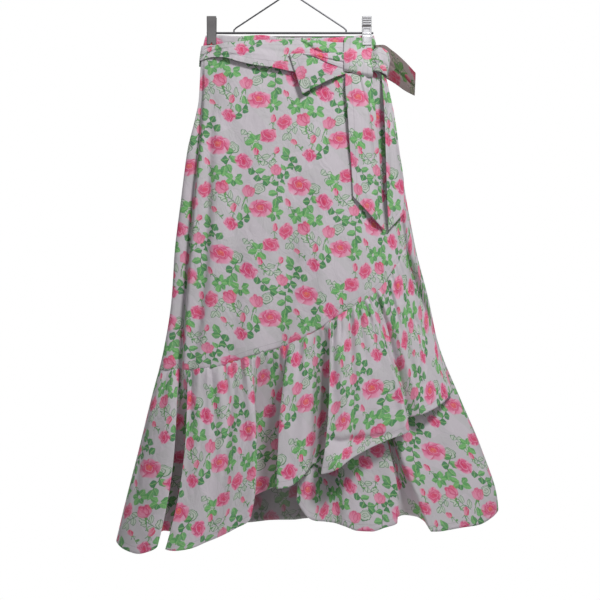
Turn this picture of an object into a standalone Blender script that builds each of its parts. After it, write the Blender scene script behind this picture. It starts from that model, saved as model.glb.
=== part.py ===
"""A ruffled wrap skirt hanging from a clip hanger.

The cloth is a set of thin walls.  Each one starts as a grid whose columns run round the body and whose
rows run down it, and the functions below bend that grid to the shape of the hung skirt.  Sizes are in
millimetres until place() turns them into metres.  "drop" is how far a point lies below the hanger's bar,
"turn" is how far round the front or the back it lies, from -1 at the left side to 1 at the right side,
and "forward" is how far it stands out from the skirt's middle plane.
"""

import math

import bmesh
import bpy
import numpy as np

MM = 0.001

# ---- cloth and seams
CLOTH = 1.2  # thickness of a single wall of cloth
ROW_GAP = 1.4  # between a panel and what is sewn below it
WAIST_SEAM = 42.0  # drop of the seam under the waistband
FLAT_OFF_MIDDLE = 0.9  # the front and the back keep this far from the skirt's middle plane where it is flat
OFF_MIDDLE = 0.4  # and this far where its sides are round
ROUND_DROP = 130.0
# The underlap lies inside the overlap: this far in the waistband, and this far from INSET_DROP down.
INSET_TOP, INSET_BELOW = 2.4, 7.0
INSET_DROP = 300.0
PINCHED_LAYER = 1.7  # from one layer's middle to the next one's, where a clip squeezes them
SASH_OUTSET = 2.8  # the sash lies this far outside the waistband
ROUNDNESS = 2.2  # 2 is an ellipse, more is squarer

# ---- hanger
BAR_DROP_FROM_HOOK = 135.0  # the bar's axis below the hook's seat, which is the origin
BAR_RADIUS = 2.0
BAR_HALF_LENGTH = 150.0
YOKE_RADIUS = 1.5
YOKE_HALF_WIDTH = 101.0
YOKE_RISE = 73.0
HOOK_WIRE_RADIUS = 1.75
HOOK_INNER_RADIUS = 18.0
CLIP_WIDTH = 17.0
CLIP_PLATE = 1.2
CLIP_TOP = -29.0  # drop of the handles' upper edge
CLIP_LEFT, CLIP_RIGHT = -141.0, 138.0  # the clips' middles along the bar
PINCH_HALF_WIDTH = 17.0
PINCH_TOP, PINCH_BOTTOM = 26.0, 75.0  # the cloth is squeezed down to the first drop, and free from the second
SPRING_INNER_RADIUS = 2.3
SPRING_OUTER_RADIUS = 3.5
SPRING_LENGTH = 10.0


class Table:
    """Rows of sizes with named columns.  at() reads a column between the rows, with no overshoot."""

    def __init__(self, columns, *rows):
        self.columns = dict(zip(columns.split(), np.array(rows, float).T))
        self.key = next(iter(self.columns.values()))

    def at(self, column, where):
        keys, values = self.key, self.columns[column]
        step = np.diff(keys)
        rise = np.diff(values) / step
        slope = np.concatenate([rise[:1], np.zeros(len(rise) - 1), rise[-1:]])
        same = rise[:-1] * rise[1:] > 0
        mean = np.zeros(len(same))
        mean[same] = 2 / (1 / rise[:-1][same] + 1 / rise[1:][same])
        slope[1:-1] = mean
        i = int(np.clip(np.searchsorted(keys, where) - 1, 0, len(step) - 1))
        t = (where - keys[i]) / step[i]
        if t > 1:
            return float(values[-1] + slope[-1] * (where - keys[-1]))
        return float(
            values[i] * (1 + 2 * t) * (1 - t) ** 2
            + slope[i] * step[i] * t * (1 - t) ** 2
            + values[i + 1] * t * t * (3 - 2 * t)
            + slope[i + 1] * step[i] * t * t * (t - 1)
        )


# The skirt's outline from the front (left, right) and from the side (front, back).
SECTION = Table(
    "drop left right front back",
    (0, -150, 152, 6, 6),
    (20, -155, 157, 8, 8),
    (50, -160, 164, 12, 11),
    (85, -162, 168, 16, 15),
    (120, -164, 174, 19, 18),
    (160, -172, 184, 23, 21),
    (210, -184, 194, 27, 25),
    (300, -196, 209, 33, 30),
    (390, -207, 227, 39, 35),
    (480, -213, 253, 44, 39),
    (570, -227, 277, 49, 43),
    (660, -250, 314, 54, 47),
    (750, -272, 352, 59, 51),
    (840, -295, 380, 64, 55),
    (915, -313, 385, 68, 58),
)

# The seam between the overlap and its ruffle climbs from the left side to the right one.
OVERLAP_SEAM = Table(
    "turn drop",
    (-1.00, 607),
    (-0.63, 601),
    (-0.39, 581),
    (-0.09, 558),
    (0.12, 531),
    (0.24, 512),
    (0.38, 494),
    (0.50, 480),
    (0.63, 459),
    (0.75, 431),
    (0.87, 400),
    (0.95, 373),
    (1.00, 345),
)

# Folds of the overlap's ruffle: where each starts on the seam, and where it ends at the hem.
OVERLAP_HEM = Table(
    "start turn drop fold",
    (-1.00, -1.000, 913, 0),
    (-0.93, -0.875, 925, 10),
    (-0.87, -0.765, 905, 4),
    (-0.84, -0.715, 886, -40),
    (-0.80, -0.670, 912, 8),
    (-0.72, -0.595, 910, 12),
    (-0.62, -0.525, 900, 10),
    (-0.53, -0.445, 886, 8),
    (-0.44, -0.365, 867, 14),
    (-0.39, -0.295, 838, 10),
    (-0.27, -0.240, 806, -38),
    (-0.10, -0.170, 794, 6),
    (0.03, -0.085, 792, 10),
    (0.10, -0.055, 778, -6),
    (0.16, 0.013, 760, -14),
    (0.22, 0.068, 768, 0),
    (0.32, 0.166, 760, 12),
    (0.40, 0.255, 742, 14),
    (0.48, 0.434, 719, 8),
    (0.53, 0.540, 703, 10),
    (0.65, 0.695, 669, -2),
    (0.76, 0.800, 657, 5),
    (0.88, 0.855, 650, -8),
    (1.00, 0.945, 640, 2),
)

UNDERLAP_SEAM = Table(
    "turn drop",
    (-0.15, 575),
    (0.30, 590),
    (0.60, 600),
    (1.00, 608),
)

UNDERLAP_HEM = Table(
    "start turn drop fold",
    (-0.15, -0.090, 822, 2),
    (-0.11, -0.055, 835, 8),
    (-0.06, -0.005, 850, 10),
    (0.00, 0.055, 857, 6),
    (0.08, 0.135, 862, -4),
    (0.18, 0.235, 871, 10),
    (0.28, 0.315, 871, 18),
    (0.38, 0.415, 860, 14),
    (0.42, 0.430, 857, -18),
    (0.48, 0.490, 859, -30),
    (0.55, 0.565, 862, -20),
    (0.60, 0.605, 873, 18),
    (0.70, 0.715, 873, 12),
    (0.80, 0.820, 867, 10),
    (0.93, 0.950, 858, 6),
    (1.00, 1.000, 855, 0),
)

BACK_HEM = Table(
    "start drop fold",
    (-1.00, 913, 0),
    (-0.85, 905, 14),
    (-0.72, 896, -10),
    (-0.58, 897, 12),
    (-0.45, 890, -10),
    (-0.32, 893, 12),
    (-0.20, 886, -8),
    (-0.08, 888, 10),
    (0.02, 880, -12),
    (0.14, 884, 10),
    (0.28, 878, -10),
    (0.42, 880, 12),
    (0.55, 872, -10),
    (0.68, 872, 12),
    (0.80, 865, -10),
    (0.90, 862, 8),
    (1.00, 855, 0),
)
BACK_SEAM = 608.0

# The long fold down the left of the overlap, sharp on its outer side and soft on its inner side.
SIDE_FOLD = Table(
    "drop turn depth",
    (43, -0.97, 0),
    (100, -0.96, 3),
    (210, -0.89, 8),
    (390, -0.87, 12),
    (607, -0.84, 18),
)
SIDE_FOLD_OUTER, SIDE_FOLD_INNER = 0.035, 0.10
# A valley just inside the right side, which the overlap's ruffle and the underlap share.
RIGHT_VALLEY = Table(
    "drop depth",
    (300, 0),
    (380, 9),
    (540, 12),
    (640, 3),
    (700, 0),
)
RIGHT_VALLEY_TURN, RIGHT_VALLEY_WIDTH = 0.92, 0.045

# The free edge of the underlap, hidden behind the overlap.
UNDERLAP_EDGE = Table(
    "drop turn",
    (8, -0.50),
    (300, -0.40),
    (575, -0.15),
)

BACK_TOP = 4.2  # drop of the back waistband's upper edge
OVERLAP_TOP = Table(
    "turn drop",
    (-1.00, 5),
    (-0.90, 4.4),
    (-0.60, 7),
    (-0.35, 5),
    (-0.10, 10),
    (0.35, 11),
    (0.70, 7),
    (0.97, 5),
)

# The sash is bunched at the left side and stands off the waistband along its lower edge.
SASH = Table(
    "turn top bottom lift",
    (-1.00, 24, 50, 0),
    (-0.85, 23, 45, 3),
    (-0.70, 20, 48, 5),
    (-0.50, 16, 58, 6),
    (-0.25, 14, 65, 6),
    (0.00, 14, 72, 6),
    (0.30, 16, 75, 4),
    (0.57, 20, 74, 2),
)
SASH_BACK_TOP, SASH_BACK_BOTTOM = 23.0, 60.0

KNOT_LEFT, KNOT_RIGHT = 95.0, 155.0
KNOT = Table(
    "drop bulge",
    (9, 0.5),
    (24, 1.5),
    (40, 9),
    (62, 14),
    (76, 12),
    (84, 6),
)
KNOT_OFF = 3.4  # the knot's wrap lies this far outside the waistband
KNOT_LIP = 0.4  # share of the bulge by which the knot's edges stand off the skirt

# Ribbons of the bow.  Each row is a cut across the ribbon, from the knot to the free end.
BOW_END_LEFT = Table(
    "share x_top drop_top x_bottom drop_bottom stand",
    (0.00, 93.0, 60, 93.0, 72, 7),
    (0.35, 65.0, 57, 70.0, 86, 10),
    (0.75, 30.0, 45, 38.0, 106, 11),
    (1.00, 11.0, 47, 22.0, 115, 10),
)
BOW_END_RIGHT = Table(
    "share x_top drop_top x_bottom drop_bottom stand",
    (0.00, 158.5, 27, 158.5, 70, 9),
    (0.25, 170.0, 28, 172.0, 82, 8),
    (0.60, 197.0, 42, 197.0, 100, 4),
    (1.00, 223.0, 66, 224.0, 113, 0),
)
TIE_END_LEFT = Table(
    "share x_left drop_left x_right drop_right",
    (0.00, 97.0, 86, 146.0, 86),
    (0.25, 102.0, 145, 154.0, 152),
    (0.50, 105.0, 192, 159.0, 214),
    (0.75, 109.0, 244, 164.0, 285),
    (1.00, 112.0, 297, 168.0, 356),
)
TIE_END_RIGHT = Table(
    "share x_left drop_left x_right drop_right",
    (0.00, 157.0, 86, 168.0, 88),
    (0.25, 163.0, 150, 184.0, 150),
    (0.50, 167.0, 215, 195.0, 210),
    (0.75, 171.0, 285, 204.0, 272),
    (1.00, 175.0, 356, 203.0, 327),
)


# ---- placing
def place(x, forward, drop):
    """A point in metres: forward is towards -Y, and drop is measured down from the bar."""
    return (x * MM, -forward * MM, -(BAR_DROP_FROM_HOOK + drop) * MM)


def off_middle(drop):
    """Half of the gap at the side seams, between the middles of the two walls."""
    return FLAT_OFF_MIDDLE + (OFF_MIDDLE - FLAT_OFF_MIDDLE) * min(1.0, max(0.0, drop / ROUND_DROP))


def inset_at(drop):
    """How far the underlap lies inside the overlap."""
    return INSET_TOP + (INSET_BELOW - INSET_TOP) * min(1.0, drop / INSET_DROP)


def section_x(turn, drop, inset_left=0.0, inset_right=0.0):
    left = SECTION.at("left", drop) + inset_left
    right = SECTION.at("right", drop) - inset_right
    return (left + right) / 2 + (right - left) / 2 * turn


def turn_of(x, drop):
    left, right = SECTION.at("left", drop), SECTION.at("right", drop)
    return min(1.0, max(-1.0, (2 * x - left - right) / (right - left)))


def rounding(turn):
    return (1 - min(1.0, abs(turn)) ** ROUNDNESS) ** (1 / ROUNDNESS)


def pinch(x, drop):
    """1 where a clip squeezes the layers flat, and 0 away from the clips."""
    near = min(abs(x - CLIP_LEFT), abs(x - CLIP_RIGHT)) / PINCH_HALF_WIDTH
    free = min(1.0, max(0.0, (drop - PINCH_TOP) / (PINCH_BOTTOM - PINCH_TOP)))
    return math.exp(-(near ** 4)) * (1 - free) ** 2 * (1 + 2 * free)


def body_forward(turn, drop, inset=0.0, x=None):
    """How far the front of the body stands out, before folds."""
    x = section_x(turn, drop) if x is None else x
    squeezed = pinch(x, drop)
    free = (SECTION.at("front", drop) - inset) * rounding(turn)
    layers = PINCHED_LAYER if inset <= 0 else 0.0
    return off_middle(drop) + free * (1 - squeezed) + (layers - min(inset, 0.0)) * squeezed


def body_back(turn, drop, inset=0.0):
    """How far the back of the body stands out behind, before folds."""
    squeezed = pinch(section_x(turn, drop), drop)
    free = (SECTION.at("back", drop) - inset) * rounding(turn)
    return off_middle(drop) + free * (1 - squeezed) - min(inset, 0.0) * squeezed


def side_fold(turn, drop):
    off = turn - SIDE_FOLD.at("turn", min(drop, 607))
    width = SIDE_FOLD_OUTER if off < 0 else SIDE_FOLD_INNER
    return -SIDE_FOLD.at("depth", min(drop, 607)) * math.exp(-((off / width) ** 2))


def right_valley(x, drop):
    if not 300 < drop < 700:
        return 0.0
    off = (turn_of(x, drop) - RIGHT_VALLEY_TURN) / RIGHT_VALLEY_WIDTH
    return -RIGHT_VALLEY.at("depth", drop) * math.exp(-off * off)


def keep_off_middle(forward, drop):
    """Folds never cross the skirt's middle plane."""
    return max(forward, off_middle(drop))


# ---- the surfaces
def overlap_panel(across, down):
    turn = math.sin(across * math.pi / 2)
    drop = WAIST_SEAM + ROW_GAP + (OVERLAP_SEAM.at("drop", turn) - WAIST_SEAM - ROW_GAP) * down
    x = section_x(turn, drop)
    forward = body_forward(turn, drop) + side_fold(turn, drop) + right_valley(x, drop)
    return place(x, keep_off_middle(forward, drop), drop)


def underlap_panel(across, down):
    bottom = UNDERLAP_SEAM.at("drop", max(-0.15, across))
    drop = WAIST_SEAM + ROW_GAP + (bottom - WAIST_SEAM - ROW_GAP) * down
    edge = UNDERLAP_EDGE.at("turn", drop)
    turn = math.sin(math.pi / 2 * across) if across > 0 else edge * abs(across) / 0.15
    inset = inset_at(drop)
    x = section_x(turn, drop, inset, inset)
    return place(x, keep_off_middle(body_forward(turn, drop, inset, x) + right_valley(x, drop), drop), drop)


def back_panel(across, down):
    turn = math.sin(across * math.pi / 2)
    drop = WAIST_SEAM + ROW_GAP + (BACK_SEAM - WAIST_SEAM - ROW_GAP) * down
    return place(section_x(turn, drop, 0.0, inset_at(drop)), -body_back(turn, drop), drop)


def ruffle_lift(start, down):
    """The overlap's ruffle flares out over the underlap, but not at the left side seam."""
    at_side = 1 - abs(start) ** 8 if start < 0 else 1 - 0.6 * start ** 8
    return (4 + 18 * down) * down ** 0.3 * at_side


def overlap_ruffle(across, down):
    start = across
    top_drop = OVERLAP_SEAM.at("drop", start) + ROW_GAP
    turn = start + (OVERLAP_HEM.at("turn", start) - start) * down
    drop = top_drop + (OVERLAP_HEM.at("drop", start) - top_drop) * down
    x = section_x(turn, drop)
    fold = side_fold(start, top_drop) * (1 - down) + OVERLAP_HEM.at("fold", start) * down ** 0.8
    forward = body_forward(turn, drop) + ruffle_lift(start, down) + fold + right_valley(x, drop)
    return place(x, keep_off_middle(forward, drop), drop)


def underlap_ruffle(across, down):
    start = across
    top_drop = UNDERLAP_SEAM.at("drop", start) + ROW_GAP
    turn = start + (UNDERLAP_HEM.at("turn", start) - start) * down
    drop = top_drop + (UNDERLAP_HEM.at("drop", start) - top_drop) * down
    inset = inset_at(drop)
    x = section_x(turn, drop, inset, inset)
    fold = UNDERLAP_HEM.at("fold", start) * down ** 1.2 + right_valley(x, drop)
    return place(x, keep_off_middle(body_forward(turn, drop, inset, x) + fold, drop), drop)


def back_ruffle(across, down):
    start = across
    top_drop = BACK_SEAM + ROW_GAP
    drop = top_drop + (BACK_HEM.at("drop", start) - top_drop) * down
    back = body_back(start, drop) + BACK_HEM.at("fold", start) * down
    return place(section_x(start, drop, 0.0, inset_at(drop)), -keep_off_middle(back, drop), drop)


def overlap_waistband(across, down):
    turn = math.sin(across * math.pi / 2)
    top = OVERLAP_TOP.at("drop", turn)
    drop = top + (WAIST_SEAM - top) * down
    return place(section_x(turn, drop), body_forward(turn, drop), drop)


def underlap_waistband(across, down):
    top = 9.0
    drop = top + (WAIST_SEAM - top) * down
    turn = math.sin(across * math.pi / 2)
    inset = inset_at(drop)
    x = section_x(turn, drop, inset, inset)
    return place(x, body_forward(turn, drop, inset, x), drop)


def back_waistband(across, down):
    turn = math.sin(across * math.pi / 2)
    drop = BACK_TOP + (WAIST_SEAM - BACK_TOP) * down
    return place(section_x(turn, drop, 0.0, inset_at(drop)), -body_back(turn, drop), drop)


def sash_front(across, down):
    turn = math.sin(across * math.pi / 2)
    top, bottom = SASH.at("top", turn), SASH.at("bottom", turn)
    drop = top + (bottom - top) * down
    x = section_x(turn, drop, -SASH_OUTSET, -SASH_OUTSET)
    return place(x, body_forward(turn, drop, -SASH_OUTSET) + SASH.at("lift", turn) * down, drop)


def sash_back(across, down):
    turn = math.sin(across * math.pi / 2)
    drop = SASH_BACK_TOP + (SASH_BACK_BOTTOM - SASH_BACK_TOP) * down
    x = section_x(turn, drop, -SASH_OUTSET, -SASH_OUTSET)
    return place(x, -body_back(turn, drop, -SASH_OUTSET), drop)


def bow_knot(across, down):
    drop = KNOT.key[0] + (KNOT.key[-1] - KNOT.key[0]) * down
    x = (KNOT_LEFT + KNOT_RIGHT) / 2 + (KNOT_RIGHT - KNOT_LEFT) / 2 * math.sin(across * math.pi / 2)
    hump = KNOT_LIP + (1 - KNOT_LIP) * math.cos(across * math.pi / 2)
    forward = body_forward(turn_of(x, drop), drop) + KNOT_OFF + KNOT.at("bulge", drop) * hump
    return place(x, forward, drop)


def ribbon(table, across, down, stand):
    """A point of a bow's ribbon: down runs to its free end, and across runs over its width."""
    first, last = ("left", "right") if "x_left" in table.columns else ("top", "bottom")
    side = (across + 1) / 2
    x = table.at("x_" + first, down) * (1 - side) + table.at("x_" + last, down) * side
    drop = table.at("drop_" + first, down) * (1 - side) + table.at("drop_" + last, down) * side
    return place(x, body_forward(turn_of(x, drop), drop) + stand, drop)


def bow_end_left(across, down):
    return ribbon(BOW_END_LEFT, across, down, BOW_END_LEFT.at("stand", down) + 2 * (1 - across * across))


def bow_end_right(across, down):
    return ribbon(BOW_END_RIGHT, across, down, BOW_END_RIGHT.at("stand", down) + 2 * across)


def tie_end_left(across, down):
    return ribbon(TIE_END_LEFT, across, down, 7 - 4 * max(0.0, across) - 1.5 * down)


def tie_end_right(across, down):
    return ribbon(TIE_END_RIGHT, across, down, 6 + 2 * math.cos(across * math.pi / 2))


# ---- materials
def material(name, colour, roughness, metallic=0.0):
    made = bpy.data.materials.new(name)
    made.use_nodes = True
    shader = made.node_tree.nodes["Principled BSDF"]
    shader.inputs["Base Color"].default_value = (*colour, 1.0)
    shader.inputs["Roughness"].default_value = roughness
    shader.inputs["Metallic"].default_value = metallic
    return made


# ---- building
def add(name, mesh, collection, finish):
    made = bpy.data.objects.new(name, mesh)
    collection.objects.link(made)
    mesh.materials.append(finish)
    return made


def cloth(name, surface, columns, rows, collection, finish, thickness=CLOTH):
    """A grid bent to surface(across, down), with the columns' places in across, and given its wall."""
    grid = bmesh.new()
    bmesh.ops.create_grid(grid, x_segments=len(columns) - 1, y_segments=rows, size=1.0)
    for vertex in grid.verts:
        column = round((vertex.co.x + 1) / 2 * (len(columns) - 1))
        vertex.co = surface(columns[column], (1 - vertex.co.y) / 2)
    mesh = bpy.data.meshes.new(name)
    grid.to_mesh(mesh)
    grid.free()
    made = add(name, mesh, collection, finish)
    wall = made.modifiers.new("wall", "SOLIDIFY")
    wall.thickness = thickness * MM
    wall.offset = 0.0
    return made


def even(first, last, count):
    return [first + (last - first) * i / count for i in range(count + 1)]


def between_rows(table, parts=2):
    """The table's own rows with others between them, so that every fold has its columns."""
    keys = list(table.key)
    found = [a + (b - a) * i / parts for a, b in zip(keys, keys[1:]) for i in range(parts)]
    return [*found, keys[-1]]


def wire(name, points, radius, collection, finish, sides=2):
    curve = bpy.data.curves.new(name, "CURVE")
    curve.dimensions = "3D"
    curve.bevel_depth = radius * MM
    curve.bevel_resolution = sides
    curve.use_fill_caps = True
    line = curve.splines.new("POLY")
    line.points.add(len(points) - 1)
    for point, (x, forward, drop) in zip(line.points, points):
        point.co = (*place(x, forward, drop), 1.0)
    return add(name, curve, collection, finish)


def hook_points():
    """A neck that rises from the yoke and turns into three quarters of a ring."""
    ring = HOOK_INNER_RADIUS + HOOK_WIRE_RADIUS
    centre = -BAR_DROP_FROM_HOOK + HOOK_INNER_RADIUS
    neck_foot = -YOKE_RISE - YOKE_RADIUS - 0.4
    neck = [(0, neck_foot), (0, neck_foot - 9), (0.8, neck_foot - 14), (3.2, neck_foot - 18)]
    turns = [math.radians(angle) for angle in range(-60, 196, 15)]
    arc = [(ring * math.cos(turn), centre - ring * math.sin(turn)) for turn in turns]
    return [(x, 0.0, drop) for x, drop in neck + arc]


def yoke_points():
    """Two legs that lean together over the bar, with a rounded top."""
    foot = -BAR_RADIUS - 0.4
    half = [(YOKE_HALF_WIDTH, foot), (YOKE_HALF_WIDTH, foot - 3), (YOKE_HALF_WIDTH - 4, foot - 7)]
    half += [(12, -YOKE_RISE + 7.5), (6, -YOKE_RISE + 3), (2.5, -YOKE_RISE + 0.6)]
    left = [(-x, 0.0, drop) for x, drop in half]
    right = [(x, 0.0, drop) for x, drop in reversed(half)]
    return left + [(0.0, 0.0, -YOKE_RISE)] + right


def tube(name, x, length, radius, collection, finish, wall=0.0, sides=16):
    """A rod along X at the bar's height, or a sleeve round it when a wall is given."""
    form = bmesh.new()
    bmesh.ops.create_cone(
        form,
        cap_ends=not wall,
        segments=sides,
        radius1=radius * MM,
        radius2=radius * MM,
        depth=length * MM,
    )
    mesh = bpy.data.meshes.new(name)
    form.to_mesh(mesh)
    form.free()
    made = add(name, mesh, collection, finish)
    made.rotation_euler = (0, math.pi / 2, 0)
    made.location = place(x, 0, 0)
    if wall:
        sleeve = made.modifiers.new("wall", "SOLIDIFY")
        sleeve.thickness = wall * MM
        sleeve.offset = -1.0
    return made


def clip_plate(name, x, tip_forward, tip_drop, side, collection, finish):
    """One jaw of a clip with its handle: side is 1 for the front jaw and -1 for the back one."""
    middle = SPRING_OUTER_RADIUS + CLIP_PLATE / 2 + 0.6
    profile = Table(
        "drop forward",
        (CLIP_TOP, middle + 3.0),
        (CLIP_TOP + 8, middle + 2.6),
        (-8, middle + 0.8),
        (-4, middle),
        (4, middle),
        (8, tip_forward),
        (tip_drop, tip_forward),
    )
    rows = list(profile.key)

    def surface(across, down):
        drop = rows[round(down * (len(rows) - 1))]
        return place(x + across * CLIP_WIDTH / 2, side * profile.at("forward", drop), drop)

    return cloth(name, surface, [-1.0, 1.0], len(rows) - 1, collection, finish, CLIP_PLATE)


def main():
    for old in list(bpy.data.objects):
        bpy.data.objects.remove(old)
    collection = bpy.data.collections.new("wrap_skirt_on_clip_hanger")
    bpy.context.scene.collection.children.link(collection)
    print_cotton = material("rose_print_cotton", (0.80, 0.66, 0.70), 0.85)
    dark_steel = material("dark_steel", (0.16, 0.15, 0.15), 0.40, 1.0)
    dull_steel = material("dull_steel", (0.28, 0.27, 0.26), 0.50, 1.0)
    bright_steel = material("bright_steel", (0.66, 0.66, 0.66), 0.25, 1.0)

    cloth("front_overlap", overlap_panel, even(-1.0, 1.0, 30), 8, collection, print_cotton)
    underlap_columns = [-0.15, -0.1, -0.05, *even(0.0, 1.0, 12)]
    cloth("front_underlap", underlap_panel, underlap_columns, 8, collection, print_cotton)
    cloth("back_panel", back_panel, even(-1.0, 1.0, 20), 8, collection, print_cotton)
    cloth("overlap_ruffle", overlap_ruffle, between_rows(OVERLAP_HEM), 6, collection, print_cotton)
    cloth("underlap_ruffle", underlap_ruffle, between_rows(UNDERLAP_HEM), 6, collection, print_cotton)
    cloth("back_ruffle", back_ruffle, between_rows(BACK_HEM, 3), 5, collection, print_cotton)

    cloth("overlap_waistband", overlap_waistband, even(-1.0, 0.86, 18), 2, collection, print_cotton)
    cloth("underlap_waistband", underlap_waistband, even(-0.33, 1.0, 12), 2, collection, print_cotton)
    cloth("back_waistband", back_waistband, even(-1.0, 1.0, 18), 2, collection, print_cotton)
    cloth("sash_front", sash_front, even(-1.0, 0.386, 16), 3, collection, print_cotton)
    cloth("sash_back", sash_back, even(-1.0, 1.0, 18), 2, collection, print_cotton)

    cloth("bow_knot", bow_knot, even(-1.0, 1.0, 8), 7, collection, print_cotton)
    cloth("bow_end_left", bow_end_left, even(-1.0, 1.0, 5), 7, collection, print_cotton)
    cloth("bow_end_right", bow_end_right, even(-1.0, 1.0, 5), 7, collection, print_cotton)
    cloth("tie_end_left", tie_end_left, even(-1.0, 1.0, 6), 9, collection, print_cotton)
    cloth("tie_end_right", tie_end_right, even(-1.0, 1.0, 4), 9, collection, print_cotton)

    tube("hanger_bar", 0, 2 * BAR_HALF_LENGTH, BAR_RADIUS, collection, dark_steel)
    wire("hanger_yoke", yoke_points(), YOKE_RADIUS, collection, dark_steel)
    wire("hanger_hook", hook_points(), HOOK_WIRE_RADIUS, collection, dark_steel)
    clips = (
        ("left", CLIP_LEFT, 21.0, 4.6, dull_steel),
        ("right", CLIP_RIGHT, 23.0, 10.2, bright_steel),
    )
    spring_wall = SPRING_OUTER_RADIUS - SPRING_INNER_RADIUS
    for side, x, tip_drop, front_forward, steel in clips:
        clip_plate(f"clip_{side}_front", x, front_forward, tip_drop, 1, collection, steel)
        clip_plate(f"clip_{side}_back", x, 3.4, 21.0, -1, collection, steel)
        tube(f"clip_{side}_spring", x, SPRING_LENGTH, SPRING_OUTER_RADIUS, collection, steel, spring_wall)


main()
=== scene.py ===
# %% [markdown]
# # A ruffled wrap skirt on a clip hanger
#
# The skirt is cotton poplin with a rose print.  It wraps round the body, so it has two fronts: the overlap
# on the outside and the underlap beneath it.  Each front and the back end in a gathered ruffle, and a sash
# ties in a bow at the right.  A wire hanger holds the waistband with two sprung clips.
#
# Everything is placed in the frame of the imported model, whose origin is where the hanger's hook rests on
# its rail.  Sizes are in millimetres until they become points.

import math

import bmesh
import bpy
import numpy as np
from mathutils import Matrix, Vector


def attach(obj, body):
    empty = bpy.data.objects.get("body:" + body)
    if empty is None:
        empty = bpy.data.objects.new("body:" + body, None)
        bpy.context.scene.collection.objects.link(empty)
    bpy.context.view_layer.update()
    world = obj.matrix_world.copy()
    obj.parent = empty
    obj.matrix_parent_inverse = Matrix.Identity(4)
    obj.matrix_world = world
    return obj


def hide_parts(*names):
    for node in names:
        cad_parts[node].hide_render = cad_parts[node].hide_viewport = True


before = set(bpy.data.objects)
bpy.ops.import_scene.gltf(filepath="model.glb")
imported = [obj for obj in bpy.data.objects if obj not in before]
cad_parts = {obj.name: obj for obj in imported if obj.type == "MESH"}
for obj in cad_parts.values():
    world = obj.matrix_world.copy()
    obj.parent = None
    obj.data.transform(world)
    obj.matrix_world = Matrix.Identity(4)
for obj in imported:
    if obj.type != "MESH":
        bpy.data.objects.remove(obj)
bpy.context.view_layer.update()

# %% [markdown]
# A hung skirt is easiest to describe as a dressmaker measures it: how wide it is at each height.  A small
# table with named columns holds such measures, and reads them between its rows with a curve that never
# overshoots.  It works on whole arrays, so a sheet with thousands of points takes one call.

# %% Tables of measures
MM = 0.001


class Table:
    def __init__(self, columns, *rows):
        self.columns = dict(zip(columns.split(), np.array(rows, float).T))
        self.key = next(iter(self.columns.values()))

    def at(self, column, where):
        keys, values = self.key, self.columns[column]
        where = np.asarray(where, float)
        step = np.diff(keys)
        rise = np.diff(values) / step
        slope = np.concatenate([rise[:1], np.zeros(len(rise) - 1), rise[-1:]])
        same = rise[:-1] * rise[1:] > 0
        mean = np.zeros(len(same))
        mean[same] = 2 / (1 / rise[:-1][same] + 1 / rise[1:][same])
        slope[1:-1] = mean
        i = np.clip(np.searchsorted(keys, where) - 1, 0, len(step) - 1)
        t = np.clip((where - keys[i]) / step[i], 0, 1)
        beyond = slope[-1] * np.maximum(where - keys[-1], 0)
        return (
            values[i] * (1 + 2 * t) * (1 - t) ** 2
            + slope[i] * step[i] * t * (1 - t) ** 2
            + values[i + 1] * t * t * (3 - 2 * t)
            + slope[i + 1] * step[i] * t * t * (t - 1)
            + beyond
        )


def smooth(low, high, value):
    """0 below low, 1 above high, and an even slope between."""
    t = np.clip((np.asarray(value, float) - low) / (high - low), 0, 1)
    return t * t * (3 - 2 * t)


def bell(off, width):
    """1 where off is 0, falling softly to nothing within about two widths."""
    return np.exp(-((off / width) ** 2))


# %% [markdown]
# ## The outline
#
# Everything is measured down from the hanger's bar.  A level cut through the hung skirt is a flat, squarish
# oval, so one table of its left, right, front and back, from the waist to the hem, gives the whole outline.
# A point on the cloth is then a turn, from -1 at the left side to 1 at the right one, and a drop.

# %% The outline, in millimetres below the hanger's bar
BAR_DROP = 135.0
WAIST_SEAM = 42.0
SECTION = Table(
    "drop left right front back",
    (0, -150, 152, 6, 6),
    (20, -155, 157, 8, 8),
    (50, -160, 164, 12, 11),
    (85, -162, 168, 16, 15),
    (120, -164, 174, 19, 18),
    (160, -172, 184, 23, 21),
    (210, -184, 194, 27, 25),
    (300, -196, 209, 33, 30),
    (390, -207, 227, 39, 35),
    (480, -213, 253, 44, 39),
    (570, -227, 277, 49, 43),
    (660, -250, 314, 54, 47),
    (750, -272, 352, 59, 51),
    (840, -295, 380, 64, 55),
    (915, -313, 385, 68, 58),
)
ROUNDNESS = 2.2  # the power of the oval; 2 would be an ellipse
CLIP_LEFT, CLIP_RIGHT = -141.0, 138.0
NEAREST = 0.15  # no cloth comes closer than this to the middle plane


def inset_at(drop):
    """How far the inner layers lie inside the outer one: close at the waist, looser below."""
    return 2.4 + 4.6 * np.clip(drop / 300.0, 0, 1)


def section_x(turn, drop, inset_left=0.0, inset_right=0.0):
    left = SECTION.at("left", drop) + inset_left
    right = SECTION.at("right", drop) - inset_right
    return (left + right) / 2 + (right - left) / 2 * turn


def turn_of(x, drop):
    """The turn of a point whose x is known; the inverse of section_x."""
    left, right = SECTION.at("left", drop), SECTION.at("right", drop)
    return np.clip((2 * x - left - right) / (right - left), -1, 1)


def rounding(turn):
    return (1 - np.minimum(1.0, np.abs(turn)) ** ROUNDNESS) ** (1 / ROUNDNESS)


def pinch(x, drop):
    """1 between a clip's jaws, where all layers are pressed together, and 0 away from them."""
    near = np.minimum(np.abs(x - CLIP_LEFT), np.abs(x - CLIP_RIGHT)) / 17.0
    return np.exp(-(near ** 4)) * (1 - smooth(26, 75, drop))


def off_middle(drop):
    """Half the thickness that the pressed layers take up on either side of the middle plane."""
    return 0.9 - 0.5 * np.clip(drop / 130.0, 0, 1)


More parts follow.
